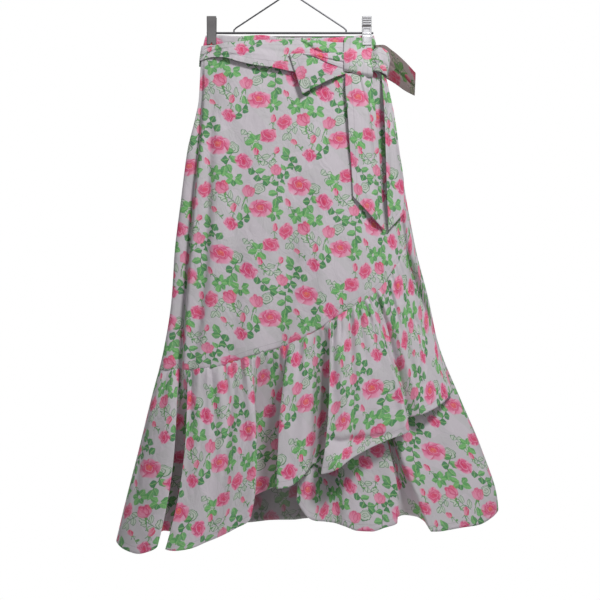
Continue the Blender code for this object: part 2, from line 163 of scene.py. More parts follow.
def body_forward(turn, drop, inset=0.0, x=None):
    x = section_x(turn, drop) if x is None else x
    squeezed = pinch(x, drop)
    free = (SECTION.at("front", drop) - inset) * rounding(turn)
    layers = 1.7 * (np.asarray(inset) <= 0)
    return off_middle(drop) + free * (1 - squeezed) + (layers - np.minimum(inset, 0.0)) * squeezed


def body_back(turn, drop, inset=0.0):
    squeezed = pinch(section_x(turn, drop), drop)
    free = (SECTION.at("back", drop) - inset) * rounding(turn)
    return off_middle(drop) + free * (1 - squeezed) - np.minimum(inset, 0.0) * squeezed


print("widest at", float(SECTION.at("right", 915) - SECTION.at("left", 915)), "mm, by the hem")

# %% [markdown]
# Each piece of cloth is one sheet.  It starts as a flat grid and is bent to the shape that a function
# gives, then Solidify makes the two faces of the cloth.  The sheet also carries where each of its points
# lies on the flat cloth, as a UV map in metres, so that the print follows the folds as real print does,
# and how far it is from its finished edge, for the hem's stitches.


def place(x, forward, drop):
    return np.stack([x, -forward, -(BAR_DROP + drop)], axis=-1) * MM


def sheet(piece, surface, columns, rows, print_at, edges="bottom", faces_back=False, gather=None, wall=0.8):
    """A sheet of cloth from surface(across, down); gather caps how much cloth a column takes up."""
    name = piece + "_cloth"
    columns, rows = np.asarray(columns), np.asarray(rows)
    grid = bmesh.new()
    bmesh.ops.create_grid(grid, x_segments=len(columns) - 1, y_segments=len(rows) - 1, size=1.0)
    if faces_back:
        bmesh.ops.reverse_faces(grid, faces=grid.faces)
    mesh = bpy.data.meshes.new(name)
    grid.to_mesh(mesh)
    grid.free()
    flat = np.empty(len(mesh.vertices) * 3)
    mesh.vertices.foreach_get("co", flat)
    flat = flat.reshape(-1, 3)
    i = np.rint((flat[:, 0] + 1) / 2 * (len(columns) - 1)).astype(int)
    j = np.rint((1 - flat[:, 1]) / 2 * (len(rows) - 1)).astype(int)
    points = place(*surface(*np.meshgrid(columns, rows)))
    mesh.vertices.foreach_set("co", points[j, i].ravel())

    wide = np.linalg.norm(np.diff(points, axis=1), axis=2)
    tall = np.linalg.norm(np.diff(points, axis=0), axis=2)
    if gather:
        fullest = np.minimum(wide.max(axis=0), gather * np.maximum(wide[0], wide.mean() * 0.25))
        wide = np.broadcast_to(fullest, wide.shape)
    u = np.concatenate([np.zeros((len(rows), 1)), np.cumsum(wide, axis=1)], axis=1)
    middle = len(columns) // 2
    u = u - u[:, middle : middle + 1] + print_at[0]
    v = np.concatenate([np.zeros((1, len(columns))), np.cumsum(tall, axis=0)], axis=0)
    cloth_map = mesh.uv_layers.new(name="cloth")
    corners = np.empty(len(mesh.loops), int)
    mesh.loops.foreach_get("vertex_index", corners)
    uv = np.stack([u[j, i], print_at[1] - v[j, i]], axis=1)[corners]
    cloth_map.data.foreach_set("uv", uv.ravel())

    away = {"bottom": v[-1:] - v, "top": v, "left": u - u[:, :1], "right": u[:, -1:] - u}
    nearest = np.minimum.reduce([np.broadcast_to(away[side], u.shape) for side in edges.split()])
    edge = mesh.attributes.new("edge", "FLOAT", "POINT")
    edge.data.foreach_set("value", nearest[j, i].astype(np.float32))

    mesh.polygons.foreach_set("use_smooth", [True] * len(mesh.polygons))
    made = bpy.data.objects.new(name, mesh)
    bpy.context.scene.collection.objects.link(made)
    thick = made.modifiers.new("two faces", "SOLIDIFY")
    thick.thickness, thick.offset = wall * MM, 0.0
    thick.material_offset = 1


def even(first, last, count):
    return np.linspace(first, last, count + 1)


def round_turn(across):
    """The turn of a column, so that even columns crowd towards the side seams, where the cloth turns away."""
    return np.sin(across * math.pi / 2)


def round_the_side(count):
    return round_turn(even(-1.0, 1.0, count))


# %% [markdown]
# Folds are what make a thin sheet read as cloth.  Each long fold on the panels is a line that runs down the
# cloth, with its own depth and its own width on either side, so that one flank can drop away sharply and
# the other rise softly, as a hanging fold does.

# %% Long folds of the panels
def fold(*rows):
    """A fold's line: how far along, where its middle is there, its depth, and its width on either side."""
    return Table("along middle depth before after", *rows)


SIDE_FOLD = fold(
    (43, -156, 0.0, 8, 2.0),
    (90, -157, 4.0, 9, 2.4),
    (166, -160, 6.0, 11, 2.8),
    (221, -165, 8.0, 13, 3.0),
    (304, -173, 11.0, 15, 3.0),
    (409, -181, 14.0, 17, 3.2),
    (506, -188, 16.0, 19, 3.2),
    (608, -194, 16.0, 20, 3.4),
    (760, -202, 0.0, 20, 4.0),
)
SOFT_FOLDS = (
    fold((100, -126, 0, 8, 26), (221, -129, -4, 8, 34), (392, -134, -6, 9, 40), (506, -146, -6, 10, 40),
         (610, -163, -3, 12, 36), (700, -175, 0, 14, 30)),
    fold((110, -140, 0, 6, 5), (240, -144, 3.0, 8, 5), (400, -150, 4.0, 10, 6), (520, -160, 4.0, 10, 6),
         (620, -172, 0, 10, 8)),
    fold((140, 4, 0, 26, 24), (300, 4, 3.0, 24, 20), (450, 0, 5.0, 26, 18), (560, -22, 8.0, 26, 16),
         (640, -28, 4, 22, 18), (720, -30, 0, 22, 18)),
    fold((180, 62, 0, 20, 20), (330, 60, -2.5, 20, 26), (480, 58, -4, 16, 24), (560, 60, 0, 14, 20)),
    fold((90, -92, 0, 30, 20), (260, -88, 1.6, 24, 18), (420, -94, 2.4, 22, 16), (580, -104, 4.0, 20, 14),
         (680, -112, 0, 20, 14)),
    fold((100, 148, 0, 12, 20), (260, 150, 2.5, 14, 22), (400, 152, 3.5, 14, 20), (480, 150, 0, 14, 20)),
)
RIGHT_VALLEY = fold(
    (290, 194, 0.0, 12, 6),
    (340, 200, 8.0, 13, 5),
    (385, 207, 12.0, 14, 5),
    (428, 221, 14.0, 15, 5.5),
    (484, 238, 14.0, 15, 5.5),
    (529, 252, 10.0, 15, 6),
    (600, 268, 4.0, 14, 6),
    (660, 285, 0.0, 14, 6),
)
RUFFLE_CREASES = (
    fold((560, 12, 0, 4, 6), (585, 11, -5.0, 5, 8), (640, 9, -5.0, 6, 9), (690, 4, 0, 6, 10)),
    fold((545, 48, 0, 4, 5), (570, 47, -5.0, 5, 6), (620, 45, -5.0, 6, 7), (680, 40, 0, 7, 8)),
    fold((535, 92, 0, 4, 5), (560, 91, -5.0, 6, 5), (620, 92, -5.5, 8, 5), (700, 94, 0, 8, 6)),
    fold((600, -96, 0, 4, 5), (640, -100, 4.0, 4, 8), (740, -112, 5.0, 5, 10), (850, -120, 0, 6, 10)),
    fold((610, -140, 0, 4, 5), (650, -146, 3.5, 4, 7), (720, -154, 3.0, 5, 9), (800, -162, 0, 6, 9)),
    fold((620, -250, 0, 5, 4), (680, -256, 4.0, 8, 5), (780, -268, 5.0, 8, 5), (880, -280, 0, 8, 6)),
    fold((425, 160, 0, 6, 8), (443, 176, 3.5, 5, 10), (497, 207, 5.0, 5, 11), (545, 238, 3.0, 5, 10),
         (570, 250, 0, 5, 8)),
    fold((545, 233, 0, 3, 4), (575, 234, 2.6, 3, 5), (620, 236, 2.6, 3, 5), (655, 238, 0, 3, 4)),
    fold((596, 187, 0, 7, 5), (640, 193, -4.0, 8, 4), (690, 202, -4.0, 8, 4), (715, 206, -2.0, 8, 4)),
    fold((480, 196, 0, 12, 8), (540, 205, 4, 12, 8), (600, 214, 5, 12, 8), (660, 222, 0, 10, 8)),
)


def fold_depth(folds, side, along):
    """What folds add to how far out the cloth stands: a depth above 0 is a valley, and below 0 a ridge.

    For folds that run down the cloth, side is x and along is drop; for those that cross it, the reverse.
    """
    total = np.zeros(np.broadcast(side, along).shape)
    for line in folds:
        off = side - line.at("middle", along)
        width = np.where(off < 0, line.at("before", along), line.at("after", along))
        inside = (along > line.key[0]) & (along < line.key[-1])
        total = total - inside * line.at("depth", along) * bell(off, width)
    return total


def crumple(x, drop, seed=0.0):
    """Small uneven hills of a pressed but hung cotton, about a millimetre high."""
    wave = np.sin(x / 17.0 + seed + 1.7 * np.sin(drop / 41.0 + seed))
    wave = wave * np.sin(drop / 53.0 + 1.1 * seed + x / 90.0)
    small = np.sin(x / 7.3 + 2.1 * seed + 1.3 * np.sin(drop / 19.0)) * np.sin(drop / 23.0 + 0.7 * seed)
    return 0.8 * wave + 0.35 * small


LAPPED_EDGE = fold(
    (60, -157.5, 0.0, 3.0, 1.0),
    (100, -158.5, 4.0, 3.0, 1.0),
    (221, -166, 6.0, 3.4, 1.1),
    (304, -174, 7.0, 3.8, 1.2),
    (409, -182, 8.0, 4.2, 1.3),
    (506, -189, 8.0, 4.6, 1.4),
    (608, -195, 6.0, 5.0, 1.5),
    (700, -200, 0.0, 6.0, 1.6),
)


def panel_folds(x, drop):
    lip = 3.5 * smooth(60, 250, drop) * (1 - smooth(600, 700, drop))
    off = x - SIDE_FOLD.at("middle", drop)
    raised = lip * bell(off, np.where(off < 0, 1.0, 18.0))
    return fold_depth((SIDE_FOLD, LAPPED_EDGE, RIGHT_VALLEY, *SOFT_FOLDS), x, drop) + raised


print("long folds:", 3 + len(SOFT_FOLDS) + len(RUFFLE_CREASES))

# %% [markdown]
# The ruffles are strips about one and a half times as long as the seams they are gathered to.  At the seam
# that fullness is in many small ridges of uneven reach, and lower down they join into a few deep flutes.
# A short table says where each flute starts on the seam, where it has got to half way down and where it
# ends at the hem, and how far it stands in or out.

# %% Seams and flutes
OVERLAP_SEAM = Table(
    "turn drop",
    (-1.00, 607),
    (-0.63, 601),
    (-0.39, 581),
    (-0.09, 558),
    (0.12, 531),
    (0.24, 512),
    (0.38, 494),
    (0.50, 480),
    (0.63, 459),
    (0.75, 431),
    (0.87, 400),
    (0.95, 373),
    (1.00, 345),
)
OVERLAP_FLUTES = Table(
    "start mid_turn mid_fold turn drop fold",
    (-1.000, -1.000, 0, -1.000, 913, 0),
    (-0.960, -0.950, 3, -0.945, 921, 5),
    (-0.920, -0.880, 8, -0.865, 925, 12),
    (-0.885, -0.820, 10, -0.805, 919, 14),
    (-0.868, -0.778, 8, -0.766, 909, 12),
    (-0.860, -0.786, -8, -0.772, 903, -10),
    (-0.850, -0.806, -30, -0.786, 898, -36),
    (-0.838, -0.782, -46, -0.764, 895, -58),
    (-0.824, -0.716, -48, -0.722, 896, -58),
    (-0.812, -0.684, -34, -0.698, 900, -38),
    (-0.800, -0.708, -10, -0.716, 906, -10),
    (-0.790, -0.718, 8, -0.722, 913, 10),
    (-0.760, -0.690, 8, -0.680, 915, 13),
    (-0.700, -0.615, 9, -0.600, 911, 10),
    (-0.620, -0.530, 5, -0.525, 900, 4),
    (-0.530, -0.445, 9, -0.445, 886, 10),
    (-0.450, -0.375, 10, -0.375, 872, 12),
    (-0.410, -0.335, 12, -0.335, 864, 14),
    (-0.375, -0.315, 8, -0.318, 856, 8),
    (-0.350, -0.322, -8, -0.334, 849, -8),
    (-0.325, -0.334, -32, -0.344, 838, -40),
    (-0.270, -0.260, -52, -0.270, 822, -64),
    (-0.190, -0.170, -50, -0.186, 811, -60),
    (-0.145, -0.140, -32, -0.160, 808, -38),
    (-0.120, -0.166, -10, -0.190, 806, -10),
    (-0.100, -0.176, 9, -0.198, 806, 11),
    (-0.050, -0.115, 9, -0.145, 804, 12),
    (0.010, -0.040, 8, -0.085, 793, 8),
    (0.045, 0.020, 0, -0.035, 777, 0),
    (0.090, 0.075, -28, 0.000, 768, -24),
    (0.140, 0.140, -38, 0.030, 772, -34),
    (0.175, 0.168, -26, 0.056, 777, -24),
    (0.195, 0.140, -4, 0.042, 779, -4),
    (0.210, 0.136, 9, 0.038, 780, 9),
    (0.235, 0.160, 9, 0.068, 778, 9),
    (0.290, 0.220, 8, 0.125, 771, 10),
    (0.360, 0.310, 4, 0.215, 752, 8),
    (0.430, 0.420, 7, 0.330, 735, 10),
    (0.480, 0.520, 10, 0.460, 720, 12),
    (0.505, 0.575, 10, 0.545, 712, 14),
    (0.520, 0.592, 4, 0.575, 706, 8),
    (0.535, 0.600, -14, 0.580, 697, -8),
    (0.560, 0.618, -18, 0.590, 688, -12),
    (0.600, 0.650, -8, 0.625, 684, -4),
    (0.660, 0.700, 3, 0.685, 680, 6),
    (0.740, 0.765, 2, 0.765, 672, 2),
    (0.820, 0.830, -3, 0.840, 662, -3),
    (0.900, 0.900, -2, 0.900, 650, -2),
    (1.000, 0.975, 2, 0.948, 640, 2),
)
UNDERLAP_SEAM = Table(
    "turn drop",
    (-0.15, 575),
    (0.30, 590),
    (0.60, 600),
    (1.00, 608),
)
UNDERLAP_FLUTES = Table(
    "start mid_turn mid_fold turn drop fold",
    (-0.150, -0.100, 0, -0.095, 832, 4),
    (-0.120, -0.075, 2, -0.065, 846, 9),
    (-0.080, -0.045, 4, -0.035, 858, 11),
    (-0.040, -0.005, 3, 0.005, 866, 7),
    (0.020, 0.050, -2, 0.065, 870, -5),
    (0.080, 0.105, -4, 0.115, 873, -9),
    (0.140, 0.155, 2, 0.165, 876, 4),
    (0.200, 0.210, 6, 0.235, 883, 12),
    (0.260, 0.275, 7, 0.310, 884, 14),
    (0.320, 0.340, 7, 0.375, 878, 13),
    (0.370, 0.410, 8, 0.425, 873, 14),
    (0.395, 0.445, 6, 0.441, 870, 7),
    (0.410, 0.447, -4, 0.442, 868, -9),
    (0.430, 0.455, -13, 0.452, 866, -24),
    (0.470, 0.475, -15, 0.490, 864, -31),
    (0.520, 0.488, -12, 0.550, 866, -26),
    (0.545, 0.492, -4, 0.590, 872, -10),
    (0.560, 0.498, 4, 0.610, 882, 4),
    (0.585, 0.520, 8, 0.622, 886, 13),
    (0.630, 0.580, 7, 0.660, 886, 13),
    (0.700, 0.665, 4, 0.725, 884, 9),
    (0.780, 0.760, 2, 0.800, 882, 4),
    (0.860, 0.850, 4, 0.880, 878, 8),
    (0.940, 0.940, 2, 0.955, 867, 5),
    (1.000, 1.000, 0, 1.000, 857, 0),
)
BACK_SEAM = 608.0
BACK_FLUTES = Table(
    "start drop fold",
    (-1.00, 913, 0),
    (-0.86, 905, 13),
    (-0.73, 897, -9),
    (-0.60, 897, 9),
    (-0.46, 891, -12),
    (-0.32, 893, 13),
    (-0.21, 886, -6),
    (-0.08, 888, 10),
    (0.02, 881, -11),
    (0.15, 884, 12),
    (0.28, 878, -8),
    (0.41, 880, 9),
    (0.56, 872, -11),
    (0.68, 872, 12),
    (0.80, 865, -8),
    (0.90, 862, 8),
    (1.00, 857, 0),
)


def gathers(along, below, seed):
    """Ridges of gathered cloth: along the seam and below it in mm.  The wider ones reach further down."""
    total = 0.0
    for wave, height, reach in ((10.0, 1.6, 26.0), (15.0, 2.6, 50.0), (23.0, 3.4, 90.0), (37.0, 3.6, 170.0)):
        phase = 2.1 * np.sin(along / 61.0 + seed + wave) + 1.3 * np.sin(along / 23.0 + 2.3 * seed)
        uneven = 0.65 + 0.35 * np.sin(along / 47.0 + 3.1 * seed + wave)
        ridge = np.sin(2 * math.pi * along / wave + phase)
        total = total + height * uneven * ridge * np.exp(-((below / reach) ** 1.5))
    held = 0.25 + 0.75 * (1 - np.exp(-below / 7.0))
    return total * held


def three_points(top, middle, bottom, down):
    return top * (1 - down) * (1 - 2 * down) + middle * 4 * down * (1 - down) + bottom * down * (2 * down - 1)


print("flutes in the overlap's ruffle:", len(OVERLAP_FLUTES.key), "columns named")

# %% [markdown]
# ## The two fronts and the back
#
# The cloth is a graph over the skirt's middle plane: how far out it stands depends on where it is across
# and down.  Nested layers share the same body, one a few millimetres inside the next, so they never cross.

# %% Panels
TUCK = 2.0  # a ruffle's upper edge is tucked this far up behind the panel
UNDERLAP_EDGE = -0.15  # the turn at which the underlap's free edge meets its ruffle
FULLNESS = 2.2  # a ruffle takes up at most this much more cloth than its seam is long
# the back's folds: the turn of each one's middle, its width and its height
BACK_FOLDS = ((-0.72, 0.10, 7), (-0.42, 0.13, 5), (-0.12, 0.09, 6), (0.22, 0.14, 5), (0.61, 0.11, 8))


def seam_dip(below):
    """The groove that a seam's stitching pulls in."""
    return -1.3 * bell(below, 5.0)


def overlap_forward(turn, x, drop):
    return body_forward(turn, drop) + panel_folds(x, drop) + crumple(x, drop, 0.4)


def overlap_panel(turn, down):
    bottom = OVERLAP_SEAM.at("drop", turn)
    drop = WAIST_SEAM + (bottom - WAIST_SEAM) * down
    x = section_x(turn, drop)
    above = bottom - drop
    pucker = 0.45 * np.sin(x / 2.1 + 1.5 * np.sin(x / 19.0)) * np.exp(-above / 16.0)
    forward = overlap_forward(turn, x, drop) + pucker + seam_dip(above)
    return x, np.maximum(forward, NEAREST), drop


def hollow(x, drop):
    """Room in the underlap for the overlap's deepest fold, which hides it."""
    return 32.0 * bell(x - 68, 26) * smooth(530, 590, drop) * (1 - smooth(770, 840, drop))


def underlap_panel(across, down):
    bottom = UNDERLAP_SEAM.at("drop", np.maximum(across, UNDERLAP_EDGE))
    drop = WAIST_SEAM + (bottom - WAIST_SEAM) * down
    edge = np.interp(drop, (8, 300, 575), (-0.50, -0.40, UNDERLAP_EDGE))
    turn = np.where(across > 0, np.sin(math.pi / 2 * across), edge * across / UNDERLAP_EDGE)
    inset = inset_at(drop)
    x = section_x(turn, drop, inset, inset)
    valley = fold_depth((RIGHT_VALLEY,), x, drop) * 0.8
    forward = body_forward(turn, drop, inset, x) + valley - hollow(x, drop)
    behind_overlap = overlap_forward(turn_of(x, drop), x, drop) - 2.5
    return x, np.maximum(np.minimum(forward, behind_overlap), NEAREST), drop


def back_panel(turn, down):
    drop = WAIST_SEAM + (BACK_SEAM - WAIST_SEAM) * down
    x = section_x(turn, drop, 0.0, inset_at(drop))
    soft = 0.0
    for middle, width, height in BACK_FOLDS:
        drift = middle * (0.92 + 0.1 * down) + 0.02 * np.sin(drop / 90.0 + 5 * middle)
        soft = soft + height * smooth(0.1, 1.0, down) * bell(turn - drift, width)
    back = body_back(turn, drop) - 0.5 * soft * rounding(turn) + crumple(x, drop, 2.2)
    return x, -np.maximum(back, NEAREST), drop


def flute_path(seam_table, flutes, start, down):
    """The seam's drop where a flute starts, and the turn and drop of a point down that flute."""
    seam = seam_table.at("drop", start)
    turn = three_points(start, flutes.at("mid_turn", start), flutes.at("turn", start), down)
    return seam, turn, seam - TUCK + (flutes.at("drop", start) - (seam - TUCK)) * down


def flute_fold(flutes, at_seam, start, down):
    return three_points(at_seam, flutes.at("mid_fold", start), flutes.at("fold", start), down)


def ruffle_lift(start, down):
    """How far the gathers hold the ruffle off the body, dying away at the side seams."""
    at_side = np.where(start < 0, 1 - np.abs(start) ** 8, 1 - 0.6 * np.abs(start) ** 8)
    return (4 + 18 * down) * down ** 0.3 * at_side


def overlap_ruffle(start, down):
    seam, turn, drop = flute_path(OVERLAP_SEAM, OVERLAP_FLUTES, start, down)
    x = section_x(turn, drop)
    flute = flute_fold(OVERLAP_FLUTES, panel_folds(section_x(start, seam), seam), start, down)
    along = section_x(start, 560.0) * 1.15  # the seam's slant makes it this much longer than it is wide
    below = drop - seam
    ridges = gathers(along, np.maximum(below, 0), 0.3) * np.minimum(1, (1 - np.abs(start)) * 12)
    # the free corner of the overlap is turned up along a slanting crease
    where = np.exp(-(((start - 0.34) / 0.14) ** 4))
    turned_up = 0.78 + 0.75 * np.maximum(start - 0.22, 0)
    crease = 7.0 * bell(down - turned_up, 0.022)
    flip = where * (18.5 * smooth(0.0, 0.16, down - turned_up) - crease)
    forward = (
        body_forward(turn, drop) + ruffle_lift(start, down) + flute + ridges + flip
        + fold_depth((RIGHT_VALLEY, *RUFFLE_CREASES), x, drop) * smooth(0.0, 0.25, down)
        + seam_dip(below) - 1.0 * (below < 0) + crumple(x, drop, 1.3)
    )
    return x, np.maximum(forward, NEAREST), drop


def underlap_ruffle(start, down):
    seam, turn, drop = flute_path(UNDERLAP_SEAM, UNDERLAP_FLUTES, start, down)
    inset = inset_at(drop)
    x = section_x(turn, drop, inset, inset)
    flute = flute_fold(UNDERLAP_FLUTES, 0.0, start, down)
    ridges = 0.6 * gathers(section_x(start, 590.0) * 1.1, np.maximum(drop - seam, 0), 1.9)
    ridges = ridges * np.minimum(1, (1 - np.abs(start)) * 12)
    forward = body_forward(turn, drop, inset, x) + flute + ridges + crumple(x, drop, 2.9) - hollow(x, drop)
    return x, np.maximum(forward, NEAREST), drop


def back_ruffle(start, down):
    top_drop = BACK_SEAM - TUCK
    drop = top_drop + (BACK_FLUTES.at("drop", start) - top_drop) * down
    x = section_x(start, drop, 0.0, inset_at(drop))
    lean = 0.012 * np.sin(start * 23.0) * down
    below = np.maximum(drop - BACK_SEAM, 0)
    ridges = gathers(section_x(start, 600.0), below, 4.1) * np.minimum(1, (1 - np.abs(start)) * 10)
    flute = BACK_FLUTES.at("fold", np.clip(start + lean, -1, 1)) * down
    back = body_back(start, drop) + flute + ridges + seam_dip(drop - BACK_SEAM) + crumple(x, drop, 3.3)
    return x, -np.maximum(back, NEAREST), drop


def crowded(table, parts):
    """Columns that keep every named one and put even ones between."""
    keys = table.key
    return np.concatenate([*(np.linspace(a, b, parts + 1)[:-1] for a, b in zip(keys, keys[1:])), keys[-1:]])


sheet("front_overlap", overlap_panel, round_the_side(190), even(0, 1, 130), (0.02, 0.0))
sheet("front_underlap", underlap_panel, even(UNDERLAP_EDGE, 1, 70), even(0, 1, 60), (0.3, 0.1), "left")
sheet("back_panel", back_panel, round_the_side(120), even(0, 1, 70), (0.5, 0.05), faces_back=True)
sheet("overlap_ruffle", overlap_ruffle, crowded(OVERLAP_FLUTES, 8), even(0, 1, 84), (0.04, -0.62),
      gather=FULLNESS)
sheet("underlap_ruffle", underlap_ruffle, crowded(UNDERLAP_FLUTES, 9), even(0, 1, 60), (0.33, -0.5),
      "bottom left", gather=FULLNESS)
sheet("back_ruffle", back_ruffle, even(-1, 1, 300), even(0, 1, 50), (0.6, -0.6), faces_back=True,
      gather=FULLNESS)

# %% [markdown]
# ## Waistband
#
# The waistband is a straight doubled strip.  The overlap's end of it lies outside, the underlap's end inside,
# and the back's joins them at the side seams.  It is level, but sags a little between the clips.

# %% Waistband pieces
OVERLAP_TOP = Table(
    "turn drop",
    (-1.00, 5),
    (-0.90, 4.4),
    (-0.60, 7),
    (-0.35, 5),
    (-0.10, 10),
    (0.35, 11),
    (0.70, 7),
    (0.97, 5),
)


def tension(x, drop):
    """Short creases that fan out of the clips' jaws."""
    total = 0.0
    for middle in (CLIP_LEFT, CLIP_RIGHT):
        away = np.hypot(x - middle, drop - 20)
        angle = np.arctan2(x - middle, drop - 10)
        total = total + 0.7 * np.sin(angle * 7.0 + middle) * smooth(8, 16, away) * np.exp(-away / 26.0)
    return total


def overlap_waistband(across, down):
    turn = round_turn(across)
    top = OVERLAP_TOP.at("drop", turn)
    drop = top + (WAIST_SEAM - top) * down
    x = section_x(turn, drop)
    return x, body_forward(turn, drop) + tension(x, drop) * 0.4, drop


def underlap_waistband(across, down):
    turn = round_turn(across)
    drop = 9.0 + (WAIST_SEAM - 9.0) * down
    inset = inset_at(drop)
    x = section_x(turn, drop, inset, inset)
    return x, body_forward(turn, drop, inset, x), drop


def back_waistband(across, down):
    turn = round_turn(across)
    drop = 4.2 + (WAIST_SEAM - 4.2) * down
    x = section_x(turn, drop, 0.0, inset_at(drop))
    return x, -(body_back(turn, drop) + 0.3 * tension(x, drop)), drop


TOP_AND_BOTTOM, BAND_WALL = "top bottom", 1.2
sheet("overlap_waistband", overlap_waistband, even(-1, 0.86, 110), even(0, 1, 12), (0.01, 0.05),
      TOP_AND_BOTTOM, wall=BAND_WALL)
sheet("underlap_waistband", underlap_waistband, even(-0.33, 1, 70), even(0, 1, 8), (0.2, 0.02),
      TOP_AND_BOTTOM, wall=BAND_WALL)
sheet("back_waistband", back_waistband, even(-1, 1, 110), even(0, 1, 12), (0.4, 0.02),
      TOP_AND_BOTTOM, faces_back=True, wall=BAND_WALL)

# %% [markdown]
# ## Sash and bow
#
# The sash is a long tie of the same cloth.  It leaves the left side seam bunched under the clip, spreads as
# it crosses the front and is knotted at the right.  Two short ends lie to the sides of the knot and two long
# ends hang down.

# %% Sash
SASH_INSET = -2.8  # outside the skirt, so less than nothing
SASH = Table(
    "turn top bottom lift",
    (-1.00, 24, 51, 0),
    (-0.85, 22, 45, 3),
    (-0.72, 19, 47, 5),
    (-0.58, 17, 54, 6),
    (-0.40, 15, 61, 6),
    (-0.20, 14, 66, 6.5),
    (0.00, 14, 73, 6.5),
    (0.30, 16, 77, 5),
    (0.57, 19, 74, 3),
    (0.80, 8, 70, 2),
)
SASH_CREASES = (
    # the pleat that runs into the knot, and the creases that fan out of the bunched end
    fold((14, 14, 0, 1, 3), (25, 19, 3.5, 1.2, 6), (49, 34, 4.0, 1.2, 9), (66, 39, 3.5, 1.2, 9),
         (98, 44, 3.0, 1.2, 8)),
    fold((-160, 44, 1.5, 1.5, 3), (-146, 36, 3.0, 1.3, 3.5), (-130, 31, 2.0, 1.5, 5), (-104, 30, 0, 2, 6)),
    fold((-158, 34, 0.5, 1.5, 3), (-148, 28, 2.5, 1.3, 3), (-132, 25, 1.0, 1.5, 4), (-116, 25, 0, 2, 6)),
    fold((-140, 44, 0, 2, 4), (-112, 42, 2.0, 2, 5), (-70, 44, 1.2, 3, 8), (-30, 48, 0, 3, 9)),
    fold((-90, 26, 0, 4, 9), (-40, 33, 1.6, 4, 9), (10, 42, 1.6, 4, 9), (60, 52, 1.0, 4, 8)),
)


def sash_front(across, down):
    turn = round_turn(across)
    top, bottom = SASH.at("top", turn), SASH.at("bottom", turn)
    drop = top + (bottom - top) * down
    x = section_x(turn, drop, SASH_INSET, SASH_INSET)
    belly = 2.2 * np.sin(math.pi * down) * smooth(-0.95, -0.6, turn)
    forward = body_forward(turn, drop, SASH_INSET) + SASH.at("lift", turn) * down + belly
    return x, forward + fold_depth(SASH_CREASES, drop, x) + 0.6 * crumple(x, drop, 5.0), drop


def sash_back(across, down):
    turn = round_turn(across)
    drop = 23.0 + 37.0 * down
    x = section_x(turn, drop, SASH_INSET, SASH_INSET)
    folds = 0.8 * np.sin(down * 9.0 + 2.0 * np.sin(x / 60.0)) * smooth(0, 0.2, 1 - np.abs(turn))
    return x, -(body_back(turn, drop, SASH_INSET) + 0.8 + folds), drop


sheet("sash_front", sash_front, even(-1, 0.44, 170), even(0, 1, 44), (0.07, 0.03), TOP_AND_BOTTOM)
sheet("sash_back", sash_back, even(-1, 1, 100), even(0, 1, 20), (0.9, 0.03), TOP_AND_BOTTOM, True)

# %% [markdown]
# The bow is tied from the sash's two ends.  The knot is a short wrap of cloth pulled over everything.  A
# ribbon is a table of where its two edges are at each share of its length, so it can turn, narrow and end
# in a slant, and stand off the skirt by its own thickness of folds.  The long ends hang straight down from
# the knot; the short ones are the loop and tail on either side of it.

# %% Knot and ribbons
def knot(across, down):
    bottom = 73.0 + 10.0 * smooth(-1.0, 0.7, across)
    top = 10.0 - 1.0 * across
    drop = top + (bottom - top) * np.minimum(1.0, down / 0.88)
    curl = smooth(0.80, 1.0, down)
    x = 122.0 + (25.0 + 1.5 * np.sin(down * 3.0)) * across
    bulge = np.interp(drop, (9, 24, 40, 62, 76, 84), (0.6, 1.8, 8.5, 13.0, 12.0, 8.0))
    edge = 0.55 + 0.45 * np.cos(across * math.pi / 2) ** 0.6
    creases = -1.4 * bell(across - 0.42 + 0.25 * down, 0.10) * smooth(0.25, 0.6, down)
    creases = creases - 0.9 * bell(across + 0.35, 0.16) * smooth(0.4, 0.9, down)
    forward = body_forward(turn_of(x, drop), drop) + 4.2 + bulge * edge + creases
    return x, forward - 11.0 * curl, drop - 1.5 * curl


def strip(*rows):
    """A ribbon's two edges, first and second, at each share of its length, and how far it stands off."""
    return Table("share x1 drop1 x2 drop2 stand", *rows)


def ribbon(edges, across, down, soft):
    side = (across + 1) / 2
    x = edges.at("x1", down) * (1 - side) + edges.at("x2", down) * side
    drop = edges.at("drop1", down) * (1 - side) + edges.at("drop2", down) * side
    return x, body_forward(turn_of(x, drop), drop) + (edges.at("stand", down) + soft), drop


END_LEFT = strip(
    (0.00, 106.0, 60, 106.0, 74, 4),
    (0.35, 66.0, 53, 72.0, 88, 12),
    (0.75, 24.0, 42, 41.0, 104, 13.5),
    (1.00, -2.0, 42, 22.0, 115, 12),
)
LOOP_LEFT = strip(
    (0.00, 106.0, 36, 106.0, 71, 5),
    (0.45, 70.0, 41, 68.0, 59, 15),
    (0.80, 40.0, 42, 40.0, 47, 16),
    (1.00, 24.0, 42, 24.0, 44, 14),
)
END_RIGHT = strip(
    (0.00, 150.0, 24, 152.0, 66, 7),
    (0.20, 166.0, 23, 168.0, 80, 8),
    (0.45, 184.0, 33, 188.0, 92, 6),
    (0.75, 208.0, 53, 208.0, 105, 2),
    (1.00, 226.0, 72, 224.5, 113, 0),
)
TURN_RIGHT = strip(
    (0.00, 142.0, 38, 142.0, 70, 6),
    (0.50, 160.0, 29, 160.0, 73, 14),
    (0.85, 175.0, 36, 172.0, 78, 13),
    (1.00, 180.0, 50, 174.0, 80, 9),
)
HANG_LEFT = strip(
    (0.00, 99.0, 76, 146.0, 80, 9),
    (0.08, 98.5, 98, 149.0, 103, 10),
    (0.25, 102.0, 145, 154.0, 152, 9),
    (0.50, 105.0, 192, 159.0, 214, 8),
    (0.75, 109.0, 244, 163.0, 285, 7),
    (1.00, 112.0, 297, 168.0, 357, 6),
)
